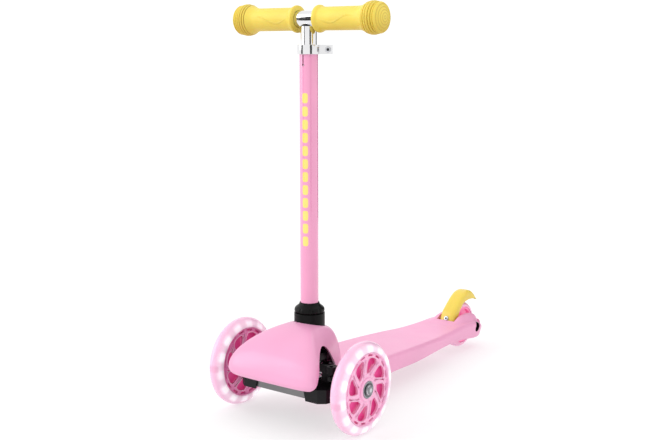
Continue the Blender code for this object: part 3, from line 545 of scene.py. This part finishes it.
DECK_HALF_WIDTH = table([(0.042, 0.038), (0.064, 0.0435), (0.095, 0.050), (0.135, 0.0530), (0.175, 0.0525),
                         (0.230, 0.0500), (0.280, 0.0455), (0.320, 0.0415), (0.360, 0.0385),
                         (0.395, 0.0378), (0.415, 0.0376), (0.430, 0.0360), (0.442, 0.0316),
                         (0.450, 0.0246), (0.4535, 0.0198)])
DECK_SIDE_TOP = table([(0.042, 0.0572), (0.064, 0.0576), (0.120, 0.0593), (0.170, 0.0578), (0.260, 0.0523),
                       (0.300, 0.0495), (0.340, 0.0485), (0.380, 0.0485), (0.400, 0.0475),
                       (0.420, 0.0450), (0.435, 0.0410), (0.445, 0.0370), (0.4535, 0.0320)])
DECK_LOBE = table([(0.360, 0.0), (0.378, 0.0030), (0.392, 0.0085), (0.406, 0.0110), (0.420, 0.0125),
                   (0.434, 0.0125), (0.445, 0.0100), (0.4535, 0.0070)])
DECK_BOTTOM = table([(0.042, 0.0310), (0.120, 0.0310), (0.170, 0.0305), (0.220, 0.0285), (0.300, 0.0280),
                     (0.340, 0.0265), (0.380, 0.0232), (0.405, 0.0200), (0.420, 0.0180),
                     (0.435, 0.0172), (0.445, 0.0190), (0.4535, 0.0235)])
DECK_CREST = 0.0185
DECK_FRONT = 0.042
DECK_BACK = 0.4535
TOP_ROUND = 0.0065
FOOT_ROUND = 0.0050
POCKET_ROWS = 5
POCKET_START = 0.068
POCKET_PITCH = 0.052
POCKET_LENGTH = 0.0485
POCKET_ROOF = 0.0455
AXLE_SINK_RADIUS = 0.0078
WHEEL_SLOT_HALF_WIDTH = 0.0160


def deck_top(x, y):
    shoulder = max(DECK_HALF_WIDTH(y) - TOP_ROUND - DECK_CREST, 0.0010)
    return DECK_SIDE_TOP(y) + max(DECK_LOBE(y), 0.0) * smooth_step(1 - (abs(x) - DECK_CREST) / shoulder)


def deck_section(y):
    """One cross-section of the deck: broad top, soft shoulder, drafted side, rounded foot."""
    width = DECK_HALF_WIDTH(y)
    bottom = DECK_BOTTOM(y)
    height = deck_top(width, y) - bottom
    round_top = min(TOP_ROUND, 0.45 * height)
    round_low = min(FOOT_ROUND, 0.45 * height)
    draft = 0.0035 * height / 0.025
    inset = width - round_top
    half = [(share / 18 * inset, deck_top(share / 18 * inset, y)) for share in range(18)]
    for step in range(9):
        turn = radians(90 - 11.25 * step)
        half.append((inset + round_top * cos(turn), deck_top(inset, y) - round_top * (1 - sin(turn))))
    for step in range(7):
        turn = radians(-10 - 12 * step)
        half.append((width - draft - round_low + round_low * cos(turn), bottom + round_low * (1 + sin(turn))))
    return [(x, y, z) for x, z in half] + [(-x, y, z) for x, z in half[:0:-1]]


def build_deck():
    bm = bmesh.new()
    count, length = 130, DECK_BACK - DECK_FRONT
    stations = [DECK_FRONT + length * (index / count) ** 0.85 for index in range(count + 1)]
    rings = [[bm.verts.new(point) for point in deck_section(y)] for y in stations]
    for front, back in zip(rings, rings[1:]):
        ring_faces(bm, front, back)
    bm.faces.new(rings[0])
    bm.faces.new(rings[-1])
    deck = add_object("deck_shell", moved(bm, at(0, FRONT_Y, 0)), sharp=45)
    front, lip, far = FRONT_Y + 0.3715, FRONT_Y + 0.3778, REAR_Y + 0.060
    slot = side_prism([(front, 0.0), (front, 0.0475), (lip, 0.0475), (lip, 0.090), (far, 0.090), (far, 0.0)],
                      -WHEEL_SLOT_HALF_WIDTH, WHEEL_SLOT_HALF_WIDTH)
    line = at(0, REAR_Y, REAR_RADIUS) @ ALONG_X
    sinks = [moved(rod(AXLE_SINK_RADIUS, low, high, 40), line)
             for low, high in ((-0.060, -0.0250), (0.0250, 0.060))]
    pin = at(0, FRONT_Y + BRAKE_PIN[0], BRAKE_PIN[1]) @ ALONG_X
    pin_sink = moved(rod(0.0050, -0.060, -0.0300, 32), pin)
    pockets = []
    for row in range(POCKET_ROWS):
        start = POCKET_START + row * POCKET_PITCH
        end = start + POCKET_LENGTH
        narrow = min(DECK_HALF_WIDTH(start), DECK_HALF_WIDTH(end)) - 0.0075
        for side, _ in SIDES:
            low, high = sorted((side * 0.0015, side * narrow))
            pockets.append(box_mesh((low, FRONT_Y + start, 0.020), (high, FRONT_Y + end, POCKET_ROOF)))
    work_with(deck, "DIFFERENCE", slot, *sinks, pin_sink, *pockets)
    soften(deck, 0.0007, 3, 42)
    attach(deck_look.wear(deck), "deck")
    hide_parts("deck")
    # Painted shade: a thin black sleeve inside each axle sink darkens the hole.
    for low, high in ((-0.0350, -0.0252), (0.0252, 0.0350)):
        hole_shade_sleeve = add_object(f"axle_hole_shade_{'left' if low > 0 else 'right'}",
                           moved(turned(sleeve_profile(0.0077, 0.0071, low, high, 0.0001), 48), line))
        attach(hole_shade_look.wear(hole_shade_sleeve), "deck")


HOOD_OUTLINE = [(0.0, -0.0675), (0.030, -0.0672), (0.052, -0.0662), (0.0660, -0.0630), (0.0715, -0.0560),
                (0.0695, -0.0410), (0.0640, -0.0220), (0.0570, -0.0060), (0.0490, 0.0100), (0.0425, 0.0260),
                (0.0350, 0.0450), (0.0200, 0.0580), (0.0, 0.0630)]
HOOD_RIM = 0.0209
HOOD_WIDEST = 0.0715
HOOD_WALL = 0.0026


def hood_point(base, level):
    """A point of the hood's outside; level runs 0 at the rim, 1 at the widest, 2 at the foot."""
    angle = atan2(base[1] - 0.023, base[0])
    rim = Vector((HOOD_RIM * cos(angle), 0.023 + HOOD_RIM * sin(angle)))
    rim_height = 0.1232 - 0.25 * (rim[1] - 0.023)
    foot = 0.0640 - 0.0052 * smooth_step((base[1] + 0.020) / 0.050)
    rearness = smooth_step((base[1] + 0.045) / 0.080)
    if level <= 1.0:
        spread = (1 - (1 - level) ** 2) ** (0.76 - 0.23 * rearness)
        flat = rim + spread * (Vector(base) - rim)
        return Vector((flat[0], flat[1], rim_height - level * (rim_height - HOOD_WIDEST)))
    tuck = 0.055 * (level - 1) ** 2 * (1 - rearness)
    flat = Vector(base) + tuck * (Vector((0.0, -0.010)) - Vector(base))
    return Vector((flat[0], flat[1], HOOD_WIDEST - (level - 1) * (HOOD_WIDEST - foot)))


def build_hood():
    """The hood as a thin shell, with the two wheel arches cut out of its flanks."""
    half = curve_through(HOOD_OUTLINE, 7)
    outline = [(x, y) for x, y in half] + [(-x, y) for x, y in half[-2:0:-1]]
    levels = [0.0, 0.008, 0.025, 0.05, 0.08] + [0.12 + 0.055 * index for index in range(16)] + [1.0]
    levels += [1.0 + 0.125 * index for index in range(1, 9)]
    bm = bmesh.new()
    centre = Vector((0.0, 0.0, 0.060))
    shells = ([], [])
    for level in levels:
        ring = [hood_point(base, level) for base in outline]
        shells[0].append([bm.verts.new(point) for point in ring])
        inner = []
        for index, point in enumerate(ring):
            around = ring[(index + 1) % len(ring)] - ring[index - 1]
            above = hood_point(outline[index], max(level - 0.01, 0.0))
            below = hood_point(outline[index], min(level + 0.01, 2.0))
            normal = around.cross(above - below).normalized()
            if normal.dot(point - centre) < 0:
                normal.negate()
            if level == 2.0:
                normal.z = 0.0
                normal.normalize()
            inner.append(point + (Vector((0, 0, -HOOD_WALL)) if level == 0.0 else -HOOD_WALL * normal))
        shells[1].append([bm.verts.new(point) for point in inner])
    for shell in shells:
        for upper, lower in zip(shell, shell[1:]):
            ring_faces(bm, upper, lower)
    ring_faces(bm, shells[0][0], shells[1][0])
    ring_faces(bm, shells[0][-1], shells[1][-1])
    hood = add_object("hood_shell", moved(bm, at(0, FRONT_Y, 0)), sharp=45)
    arch = curve_through([(-0.0610, 0.0500), (-0.0595, 0.0640), (-0.0545, 0.0730), (-0.0475, 0.0835),
                          (-0.0380, 0.0955), (-0.0250, 0.1045), (-0.0130, 0.1085), (-0.0040, 0.1050),
                          (0.0060, 0.0930), (0.0175, 0.0790), (0.0280, 0.0640), (0.0300, 0.0500)], 8)
    opening = [(y + FRONT_Y, z) for y, z in arch]
    work_with(hood, "DIFFERENCE", side_prism(opening, -0.090, -0.030), side_prism(opening, 0.030, 0.090))
    soften(hood, 0.0006, 3, 42)
    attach(hood_look.wear(hood), "deck")
    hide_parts("hood_cover")


# ---------------------------------------------------------------- column, clamp and T-bar
def build_column():
    origin = (0.0, COLUMN_Y, 0.0)
    column = at(*origin)
    seat = TUBE_RADIUS + 0.0002
    profile = rounded([(seat, 0.0963), (0.0240, 0.0963), (0.0240, 0.1000), (0.0203, 0.1000),
                       (0.0203, 0.1388), (seat, 0.1394)], 0.0007, 4)
    socket = add_object("socket_body", moved(turned(profile, 128), column), origin)
    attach(socket_look.wear(socket), "deck")
    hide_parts("column_socket")

    def bumps(turn, radius, height):
        band = smooth_step((height - 0.1398) / 0.002) * smooth_step((0.1475 - height) / 0.003)
        return -0.0007 * band * max(0.0, cos(9 * turn)) ** 6 * (radius > 0.018)
    profile = rounded([(seat, 0.1398), (0.0190, 0.1398), (0.0199, 0.1408), (0.0199, 0.1425), (0.0197, 0.1442),
                       (0.0184, 0.1464), (0.0152, 0.1486), (0.0137, 0.1502), (0.0129, 0.1528),
                       (seat, 0.1528)], 0.0010, 5)
    nut = add_object("collar_body", moved(turned(profile, 180, bumps), column), origin)
    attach(socket_look.wear(nut), "deck")
    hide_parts("collar_nut")
    tube_profile = sleeve_profile(TUBE_RADIUS, 0.0108, TUBE_FOOT, TUBE_TOP, 0.0003)
    tube = add_object("lower_tube_painted", moved(turned(tube_profile, 128), column), origin)
    low = TUBE_TOP - 0.0250
    slit = box_mesh((-0.0011, COLUMN_Y - 0.020, low), (0.0011, COLUMN_Y - 0.005, TUBE_TOP + 0.01))
    hole = moved(rod(0.0018, -0.020, -0.005, 24), at(0, COLUMN_Y, low) @ ALONG_Y)
    work_with(tube, "DIFFERENCE", slit, hole)
    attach(tube_paint().wear(tube), "deck")
    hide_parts("lower_tube")


CLAMP_HEIGHT = 0.0120


def build_clamp():
    """The chromed band with two ears, and its socket-head bolt."""
    low = TUBE_TOP + 0.0003 - CLAMP_HEIGHT
    turn = Matrix.Rotation(radians(36), 4, "Z")
    place = at(0, COLUMN_Y, low) @ turn
    ring = turned(sleeve_profile(0.0150, 0.0122, 0, CLAMP_HEIGHT, 0.0005), 128)
    band = add_object("clamp_band", moved(ring, place))
    work_with(band, "UNION", moved(box_mesh((0.0135, -0.0062, 0.0), (0.0305, 0.0062, CLAMP_HEIGHT)), place))
    centre = place @ at(0.0245, 0, CLAMP_HEIGHT / 2) @ ALONG_Y
    hole = moved(rod(0.0023, -0.02, 0.02, 32), centre)
    work_with(band, "DIFFERENCE", moved(box_mesh((0, -0.0012, -0.01), (0.050, 0.0012, 0.03)), place), hole)
    soften(band, 0.0005, 3, 50)
    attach(chrome_look.wear(band), "deck")
    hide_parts("clamp_collar")
    profile = rounded([(0, -0.0102), (0.0038, -0.0102), (0.0040, -0.0066), (0.0020, -0.0066),
                       (0.0020, 0.0098), (0, 0.0098)], 0.0004, 4, False)
    bolt = add_object("clamp_bolt_head", moved(turned(profile, 64), centre))
    key = moved(rod(0.0021, -0.0200, -0.0082, 6), centre)
    work_with(bolt, "DIFFERENCE", key)
    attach(steel_look.wear(bolt), "deck")
    add_key("clamp_bolt_key", centre @ Matrix.Rotation(pi, 4, "X"), 0.0020, 0.0083, "deck")
    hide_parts("clamp_bolt")


def build_tee():
    origin = (0.0, COLUMN_Y, 0.0)
    bar_origin = (0.0, COLUMN_Y, BAR_HEIGHT)
    bar = at(*bar_origin) @ ALONG_X
    tube_profile = sleeve_profile(0.0104, 0.0090, 0.330, BAR_HEIGHT - 0.0090, 0.0002)
    tube = add_object("inner_tube_chrome", moved(turned(tube_profile, 128), at(*origin)), origin)
    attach(chrome_look.wear(tube), "handlebar")
    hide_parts("inner_tube")
    bar_profile = sleeve_profile(0.0105, 0.0090, -CROSSBAR_REACH, CROSSBAR_REACH)
    cross = add_object("crossbar_chrome", moved(turned(bar_profile, 128), bar), bar_origin)
    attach(chrome_look.wear(cross), "handlebar")
    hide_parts("crossbar")
    rubber = grip_rubber()
    flange = [(0.0108, 0.0160), (0.0160, 0.0160), (0.0171, 0.0168), (0.0172, 0.0190), (0.0162, 0.0212),
              (0.0149, 0.0236), (0.0146, 0.0300)]
    bulb = [(0.0146, 0.0300), (0.0147, 0.0600), (0.0148, 0.0800), (0.0162, 0.0868), (0.0184, 0.0915)]
    profile = [Vector(point) for point in flange[:2]] + curve_through(flange[1:], 5)[1:]
    profile += curve_through(bulb, 10)[1:]
    for index in range(5):
        start = 0.0925 + BULB_PITCH * index
        crown = 0.0189 + 0.0016 * sin(pi * min(1.0, (index + 0.6) / 4.4))
        profile += [Vector((crown - 0.0016, start)), Vector((crown - 0.0002, start + 0.0007)),
                    Vector((crown + 0.0001, start + 0.0020)), Vector((crown - 0.0014, start + 0.0029))]
    profile += curve_through([(0.0190, 0.1098), (0.0176, 0.1120), (0.0152, 0.1132), (0.0146, 0.1130),
                              (0.0140, 0.1134), (0.0100, 0.1149), (0.0050, 0.1157), (0.0, GRIP_REACH)], 5)
    profile[-1] = Vector((0.0, GRIP_REACH))
    inside = [Vector((0.0, 0.0990)), Vector((0.0108, 0.0990))]
    for side, name in SIDES:
        mesh = turned(inside + profile, 128)
        mesh.transform(bar @ Matrix.Diagonal((1, 1, side, 1)))
        grip = add_object(f"grip_rubber_{name}", mesh, bar_origin, 60)
        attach(rubber.wear(grip), "handlebar")
        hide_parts(f"grip_{name}")


# ---------------------------------------------------------------- wheels
WINDOW = [(0.0205, 0), (0.0295, -2), (0.0370, -6), (0.0404, -16), (0.0402, -33), (0.0340, -38),
          (0.0240, -28), (0.0203, -10)]
PLATE_BACK = 0.0052
PLATE_FACE = 0.0086
PLATE_RADIUS = 0.0466
PLATE_BORE = 0.0116
DASH_OUTER = 0.0446
DASH_INNER = 0.0422
DASH_REACH = 6.5
GROOVE = [(0.0180, 22), (0.0230, 17), (0.0280, 11), (0.0330, 6), (0.0390, 1)]
WINDOW_TURNS = [3 + 45 * index for index in range(8)]
DASH_TURNS = [12.5 + 22.5 * index for index in range(16)]


def closed_curve(points, steps):
    """A smooth closed outline through points."""
    wrapped = curve_through([points[-1], *points, points[0], points[1]], steps)
    return wrapped[steps:-2 * steps]


def window_outline(turn, steps):
    """The outline of the window at one turn of the hub."""
    return closed_curve([polar(radius, turn + sweep) for radius, sweep in WINDOW], steps)


def groove_line(turn, shift):
    """The middle of one curved groove, or a line beside it."""
    line = curve_through([polar(radius, turn + sweep) for radius, sweep in GROOVE], 4)
    out = []
    for index, point in enumerate(line):
        along = (line[min(index + 1, len(line) - 1)] - line[max(index - 1, 0)]).normalized()
        out.append(point + shift * Vector((-along[1], along[0])))
    return out


def hub_ribs(name, place, origin):
    """Raised beads beside the grooves and round the windows of one hub face."""
    data = bpy.data.curves.new(name, "CURVE")
    data.dimensions = "3D"
    data.bevel_depth = 0.00055
    data.bevel_resolution = 3
    lines = [(groove_line(turn, shift), False) for turn in WINDOW_TURNS for shift in (-0.0014, 0.0014)]
    lines += [(window_outline(turn, 4), True) for turn in WINDOW_TURNS]
    for line, cyclic in lines:
        add_line(data, line, PLATE_FACE, cyclic)
    data.use_fill_caps = True
    return add_object(name, moved(curve_mesh(name, data), place), origin, 60)


def hub_outlines():
    """Windows, curved grooves between them and short dashes near the rim, seen from outside the wheel."""
    windows = [window_outline(turn, 3) for turn in WINDOW_TURNS]
    grooves = []
    for turn in WINDOW_TURNS:
        middle = groove_line(turn, 0.0)
        sides = ([], [])
        for index, point in enumerate(middle):
            along = (middle[min(index + 1, len(middle) - 1)] - middle[max(index - 1, 0)]).normalized()
            width = 0.00075 * (0.35 if index in (0, len(middle) - 1) else 1.0)
            across = Vector((-along[1], along[0])) * width
            sides[0].append(point + across)
            sides[1].append(point - across)
        grooves.append(sides[0] + sides[1][::-1])
    dashes = []
    for turn in DASH_TURNS:
        reach = [turn - DASH_REACH + 2 * DASH_REACH * step / 8 for step in range(9)]
        outline = [Vector(polar(DASH_OUTER, degrees)) for degrees in reach]
        outline += [Vector(polar(DASH_INNER, degrees)) for degrees in reach[::-1]]
        dashes.append(rounded(outline, 0.0006, 3))
    return windows + grooves + dashes


def circle(radius, steps=128):
    return [polar(radius, 360 * step / steps) for step in range(steps)]


def tyre_profile(outer, inner, half):
    """A tyre's section, whose tread is half an ellipse."""
    chamfer, steps = 0.0008, 32
    shoulder = inner + 1.5 * chamfer
    profile = [Vector((inner, -half + chamfer)), Vector((inner + chamfer, -half))]
    for step in range(steps + 1):
        turn = -pi / 2 + pi * step / steps
        profile.append(Vector((shoulder + (outer - shoulder) * cos(turn), half * sin(turn))))
    return profile + [Vector((inner + chamfer, half)), Vector((inner, half - chamfer))]


def build_front_wheel(side, name):
    """One lit wheel: tyre, two pierced hub faces, the core between them, bearings and the bolt's head."""
    origin = (side * HALF_TRACK, FRONT_Y, FRONT_RADIUS)
    body = f"wheel_{name}"
    centre = at(*origin) @ Matrix.Diagonal((side, 1, 1, 1))
    place = centre @ ALONG_X
    profile = tyre_profile(FRONT_RADIUS, RIM_RADIUS, TYRE_HALF_WIDTH)
    tyre = add_object(f"tyre_lit_{name}", moved(turned(profile, 144), place), origin, 60)
    patch = radians(-172) if side > 0 else radians(178)
    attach(tyre_glow(f"tyre_glow_{name}", patch).wear(tyre), body)
    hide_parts(f"tyre_{name}")
    to_face = Matrix(((0, 0, 1, 0), (1, 0, 0, 0), (0, 1, 0, 0), (0, 0, 0, 1)))
    holes = hub_outlines()
    for face, label, face_look in ((1, "outer", hub_look), (-1, "inner", inner_hub_look)):
        front = centre @ Matrix.Diagonal((face, 1, 1, 1)) @ to_face
        plate = flat_plate(f"hub_{label}_{name}_plate", circle(PLATE_RADIUS),
                           [*holes, circle(PLATE_BORE)], PLATE_BACK, PLATE_FACE, 0.00035, front, origin)
        seat = RIM_RADIUS - 0.0001
        rim = rounded([(0.0446, 0.0080), (seat, 0.0080), (seat, TYRE_HALF_WIDTH),
                       (0.0457, TYRE_HALF_WIDTH)], 0.0006, 4)
        boss = rounded([(0.0112, 0.0070), (0.0158, 0.0070), (0.0148, 0.0106), (0.0112, 0.0106)], 0.0008, 4)
        turn_face = place @ Matrix.Diagonal((1, 1, face, 1))
        for part, outline in (("rim", rim), ("boss", boss)):
            ring = moved(turned(outline, 128), turn_face)
            piece = add_object(f"hub_{label}_{name}_{part}", ring, origin, 60)
            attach(face_look.wear(piece), body)
        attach(face_look.wear(plate), body)
        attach(rib_look.wear(hub_ribs(f"hub_{label}_{name}_ribs", front, origin)), body)
        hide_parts(f"hub_{label}_{name}")
        build_bearing(f"{label}_{name}", turn_face, origin, body)
    core_look.wear(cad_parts[f"light_core_{name}"])
    head = rounded([(0, 0.1108), (0.0070, 0.1108), (0.0070, 0.1118), (0.0058, 0.1124), (0.0056, 0.1142),
                    (0.0048, 0.1147), (0, 0.1147)], 0.0005, 4, False)
    line = at(0, FRONT_Y, FRONT_RADIUS) @ Matrix.Diagonal((side, 1, 1, 1)) @ ALONG_X
    bolt = add_object(f"axle_head_{name}", moved(turned(head, 96), line))
    key = moved(rod(0.0030, 0.1128, 0.1200, 6), line)
    work_with(bolt, "DIFFERENCE", key)
    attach(screw_look.wear(bolt), f"knuckle_{name}")
    add_key(f"axle_head_key_{name}", line, 0.0029, 0.1129, f"knuckle_{name}")
    steel_look.wear(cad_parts[f"axle_bolt_{name}"])


def build_bearing(name, place, origin, body):
    """A ball bearing's outer race, sunk shield and inner race."""
    outer = rounded([(0.0094, 0.0055), (0.01098, 0.0055), (0.01098, 0.0110), (0.0094, 0.0110)], 0.0004, 3)
    shield = rounded([(0.0062, 0.0055), (0.0095, 0.0055), (0.0095, 0.0104), (0.0062, 0.0104)], 0.0003, 3)
    inner = rounded([(0.0043, 0.0055), (0.0063, 0.0055), (0.0063, 0.0110), (0.0043, 0.0110)], 0.0003, 3)
    for part, outline, look in (("outer_race", outer, bearing_look), ("shield", shield, shield_look),
                                ("inner_race", inner, bearing_look)):
        piece = add_object(f"bearing_{name}_{part}", moved(turned(outline, 96), place), origin, 50)
        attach(look.wear(piece), body)
        if part == "outer_race":
            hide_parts(f"bearing_{name}")


def build_rear_wheel():
    origin = (0.0, REAR_Y, REAR_RADIUS)
    place = at(*origin) @ ALONG_X
    section = tyre_profile(REAR_RADIUS, REAR_RIM_RADIUS, REAR_TYRE_HALF_WIDTH)
    tyre = add_object("rear_tyre_cast", moved(turned(section, 128), place), origin, 60)
    look = Look("tyre_pink").colour((0.93, 0.50, 0.70), 0.04, 30.0).rough(0.34, 0.05, 45.0)
    look.bump(500.0, 0.00002)
    look.put(Subsurface_Weight=0.35, Subsurface_Scale=0.004, Coat_Weight=0.2, Coat_Roughness=0.2)
    look.put(Subsurface_Radius=(1.0, 0.5, 0.7))
    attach(look.wear(tyre), "rear_wheel")
    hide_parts("rear_tyre")
    profile = rounded([(0.0113, -0.0108), (0.0145, -0.0108), (0.0160, -0.0055), (0.0245, -0.0055),
                       (0.0257, -0.0092), (0.0285, -0.0092), (0.0285, 0.0092), (0.0257, 0.0092),
                       (0.0245, 0.0055), (0.0160, 0.0055), (0.0145, 0.0108), (0.0113, 0.0108)], 0.0006, 4)
    hub = add_object("rear_hub_moulded", moved(turned(profile, 128), place), origin, 60)
    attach(rear_hub_glow_look.wear(hub), "rear_wheel")
    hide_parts("rear_hub")


# ---------------------------------------------------------------- foot brake
BRAKE_OUTER = [(0.3785, 0.0462), (0.3798, 0.0480), (0.3806, 0.0505), (0.3845, 0.0588), (0.3884, 0.0646),
               (0.3963, 0.0713), (0.4050, 0.0780), (0.4144, 0.0845), (0.4240, 0.0892), (0.4330, 0.0910),
               (0.4410, 0.0903), (0.4480, 0.0862), (0.4540, 0.0808), (0.4586, 0.0756)]
BRAKE_EDGE = [(0.4580, 0.0742), (0.4500, 0.0752), (0.4398, 0.0768), (0.4280, 0.0771), (0.4167, 0.0748),
              (0.4088, 0.0693), (0.4020, 0.0624), (0.3980, 0.0549), (0.3925, 0.0487), (0.3870, 0.0440),
              (0.3820, 0.0408), (0.3765, 0.0393)]
BRAKE_HOLLOW = [(0.3822, 0.0300), (0.3822, 0.0440), (0.3832, 0.0480), (0.3850, 0.0520), (0.3877, 0.0573),
                (0.3908, 0.0622), (0.3984, 0.0690), (0.4070, 0.0756), (0.4160, 0.0820), (0.4250, 0.0862),
                (0.4330, 0.0878), (0.4400, 0.0872), (0.4460, 0.0838), (0.4520, 0.0784), (0.4550, 0.0750),
                (0.4560, 0.0300)]


BRAKE_HALF_WIDTH = 0.0126
CROWN_REACH = 0.0085
CROWN_DEPTH = 0.0045


def crowned_bar(outer, edge):
    """The brake's solid, whose outer face falls away in a soft curve towards both sides."""
    turns = [pi / 2 * step / 8 for step in range(9)]
    places = [-BRAKE_HALF_WIDTH + CROWN_REACH * (1 - sin(turn)) for turn in turns[::-1]]
    places += [-place for place in places[::-1]]
    bm = bmesh.new()
    rings = []
    for x in places:
        share = max(0.0, abs(x) - BRAKE_HALF_WIDTH + CROWN_REACH) / CROWN_REACH
        depth = CROWN_DEPTH * (1 - max(0.0, 1 - share * share) ** 0.5)
        ring = []
        for index, point in enumerate(outer):
            along = (outer[min(index + 1, len(outer) - 1)] - outer[max(index - 1, 0)]).normalized()
            ring.append((point[0] + along[1] * depth, point[1] - along[0] * depth))
        ring += [(point[0], point[1]) for point in edge]
        rings.append([bm.verts.new((x, y + FRONT_Y, z)) for y, z in ring])
    for left, right in zip(rings, rings[1:]):
        ring_faces(bm, left, right)
    bm.faces.new(rings[0])
    bm.faces.new(rings[-1])
    return bm


def build_brake():
    outer = curve_through(BRAKE_OUTER, 5)
    edge = curve_through(BRAKE_EDGE, 5)
    solid = crowned_bar(outer, edge)
    lever = add_object("brake_fender", solid, sharp=35)
    inside = BRAKE_HOLLOW[:1] + curve_through(BRAKE_HOLLOW[1:-1], 4) + BRAKE_HOLLOW[-1:]
    hollow = [(y + FRONT_Y, z) for y, z in inside]
    work_with(lever, "DIFFERENCE", side_prism(hollow, -0.0107, 0.0107))
    ends = rounded([(0, -0.0156), (0.0040, -0.0156), (0.0040, 0.0156), (0, 0.0156)], 0.0004, 3, False)
    work_with(lever, "UNION", moved(turned(ends, 48), at(0, FRONT_Y + BRAKE_PIN[0], BRAKE_PIN[1]) @ ALONG_X))
    soften(lever, 0.0011, 4, 40)
    look = plastic("brake_yellow", YELLOW, 0.36, 0.00002, 1200.0, 0.15)
    look.put(Subsurface_Weight=0.06, Subsurface_Scale=0.003)
    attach(look.wear(lever), "foot_brake")
    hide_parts("brake_lever")
    tilt = Matrix.Rotation(radians(BRAKE_SCREW_TILT), 4, "X")
    face = at(0, FRONT_Y + BRAKE_SCREW[0], BRAKE_SCREW[1]) @ tilt
    profile = rounded([(0, -0.0024), (0.0015, -0.0024), (0.0015, 0.0003), (0.0040, 0.0003), (0.0040, 0.0014),
                       (0.0030, 0.0024), (0, 0.0025)], 0.0004, 4, False)
    screw = add_object("brake_screw_head", moved(turned(profile, 72), face))
    key = moved(rod(0.0019, 0.0010, 0.0100, 6), face)
    work_with(screw, "DIFFERENCE", key)
    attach(steel_look.wear(screw), "foot_brake")
    add_key("brake_screw_key", face, 0.0018, 0.0011, "foot_brake")
    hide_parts("brake_screw")


# ---------------------------------------------------------------- carried CAD nodes
def dress_nodes():
    """Materials and soft edges for the CAD nodes that show as they are."""
    looks = {
        black_look: ["steering_block", "end_fork_left", "end_fork_right", "knuckle_left", "knuckle_right",
                     "tie_bar", "tube_plug"],
        steel_look: ["block_screw_left", "block_screw_right", "lean_bolt", "clamp_nut", "rear_spacer_left",
                     "rear_spacer_right", "kingpin_left", "kingpin_right"],
        # Dark oxide, also painted shade for these bolts and the pin in their sunk holes.
        oxide_and_recess_shade_look: ["rear_axle_bolt", "rear_axle_nut", "brake_pin"],
        alu_look: ["crossmember", "pivot_saddle"],
        bearing_look: ["rear_bearing_left", "rear_bearing_right"],
        spring_look: ["brake_spring", "centring_spring_left", "centring_spring_right"],
        pad_look: ["brake_pad"],
    }
    for look, names in looks.items():
        for name in names:
            look.wear(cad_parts[name])
    for name in ("end_fork_left", "end_fork_right", "knuckle_left", "knuckle_right",
                 "steering_block", "tie_bar", "crossmember", "pivot_saddle", "brake_pad"):
        soften(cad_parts[name], 0.0006, 2, 40)


# ---------------------------------------------------------------- stage
FLOOR_REACH = 30.0
KEY_ENERGY = 1.1
KEY_ANGLE = 50
KEY_DIRECTION = (0.80, 0.75, -0.45)
CARDS = (((-0.77, -1.27), 0.50), ((1.31, -0.76), 0.56), ((0.11, 1.47), 0.90))
CAMERA_PLACE = (0.81711, -1.03155 + FRONT_Y, 0.48290)
CAMERA_AZIMUTH = 36.61
CAMERA_ELEVATION = 9.42
CAMERA_LENS = 56.70


def stage():
    """A plain pale floor, soft lights and the camera."""
    mesh = bpy.data.meshes.new("floor")
    corners = [(-FLOOR_REACH, -FLOOR_REACH, 0), (FLOOR_REACH, -FLOOR_REACH, 0),
               (FLOOR_REACH, FLOOR_REACH, 0), (-FLOOR_REACH, FLOOR_REACH, 0)]
    mesh.from_pydata(corners, [], [(0, 1, 2, 3)])
    floor = placed("floor", mesh)
    look = Look("floor_white").colour((0.50, 0.50, 0.50), 0.003, 0.5).rough(0.7, 0.02, 3.0)
    look.put(Emission_Color=(1.0, 1.0, 1.0, 1.0), Emission_Strength=0.50, Specular_IOR_Level=0.0)
    look.wear(floor)
    world = bpy.data.worlds.new("studio")
    bpy.context.scene.world = world
    world.use_nodes = True
    world.node_tree.nodes["Background"].inputs["Color"].default_value = (1.0, 1.0, 1.0, 1.0)
    world.node_tree.nodes["Background"].inputs["Strength"].default_value = WORLD
    data = bpy.data.lights.new("key", "SUN")
    data.energy = KEY_ENERGY
    data.angle = radians(KEY_ANGLE)
    light = placed("key", data)
    light.rotation_mode = "QUATERNION"
    light.rotation_quaternion = Vector(KEY_DIRECTION).to_track_quat("-Z", "Y")
    dark = Look("card_grey").colour((0.02, 0.02, 0.02), 0.01, 2.0).rough(0.9, 0.02, 5.0)
    for index, ((card_x, card_y), width) in enumerate(CARDS):
        place = (card_x, COLUMN_Y + card_y, 0.4)
        card_mesh = bpy.data.meshes.new(f"card_{index}")
        card_mesh.from_pydata([(-width / 2, 0, -0.6), (width / 2, 0, -0.6), (width / 2, 0, 1.0),
                               (-width / 2, 0, 1.0)], [], [(0, 1, 2, 3)])
        card = placed(f"card_{index}", card_mesh)
        card.location = place
        card.rotation_euler = (0, 0, atan2(card_x, -card_y))
        dark.wear(card)
        for flag in ("visible_camera", "visible_diffuse", "visible_shadow", "visible_transmission"):
            setattr(card, flag, False)
    data = bpy.data.cameras.new("camera")
    data.lens = CAMERA_LENS
    data.sensor_width = 36.0
    camera = placed("camera", data)
    camera.location = CAMERA_PLACE
    camera.rotation_mode = "QUATERNION"
    azimuth, elevation = radians(CAMERA_AZIMUTH), radians(CAMERA_ELEVATION)
    ahead = Vector((-sin(azimuth) * cos(elevation), cos(azimuth) * cos(elevation), -sin(elevation)))
    camera.rotation_quaternion = ahead.to_track_quat("-Z", "Y")
    data.clip_start = 0.05
    data.clip_end = 100.0
    bpy.context.scene.camera = camera
    bpy.context.scene.view_settings.view_transform = "Standard"


build_deck()
build_hood()
build_column()
build_clamp()
build_tee()
for wheel_side, wheel_name in SIDES:
    build_front_wheel(wheel_side, wheel_name)
build_rear_wheel()
build_brake()
dress_nodes()
stage()
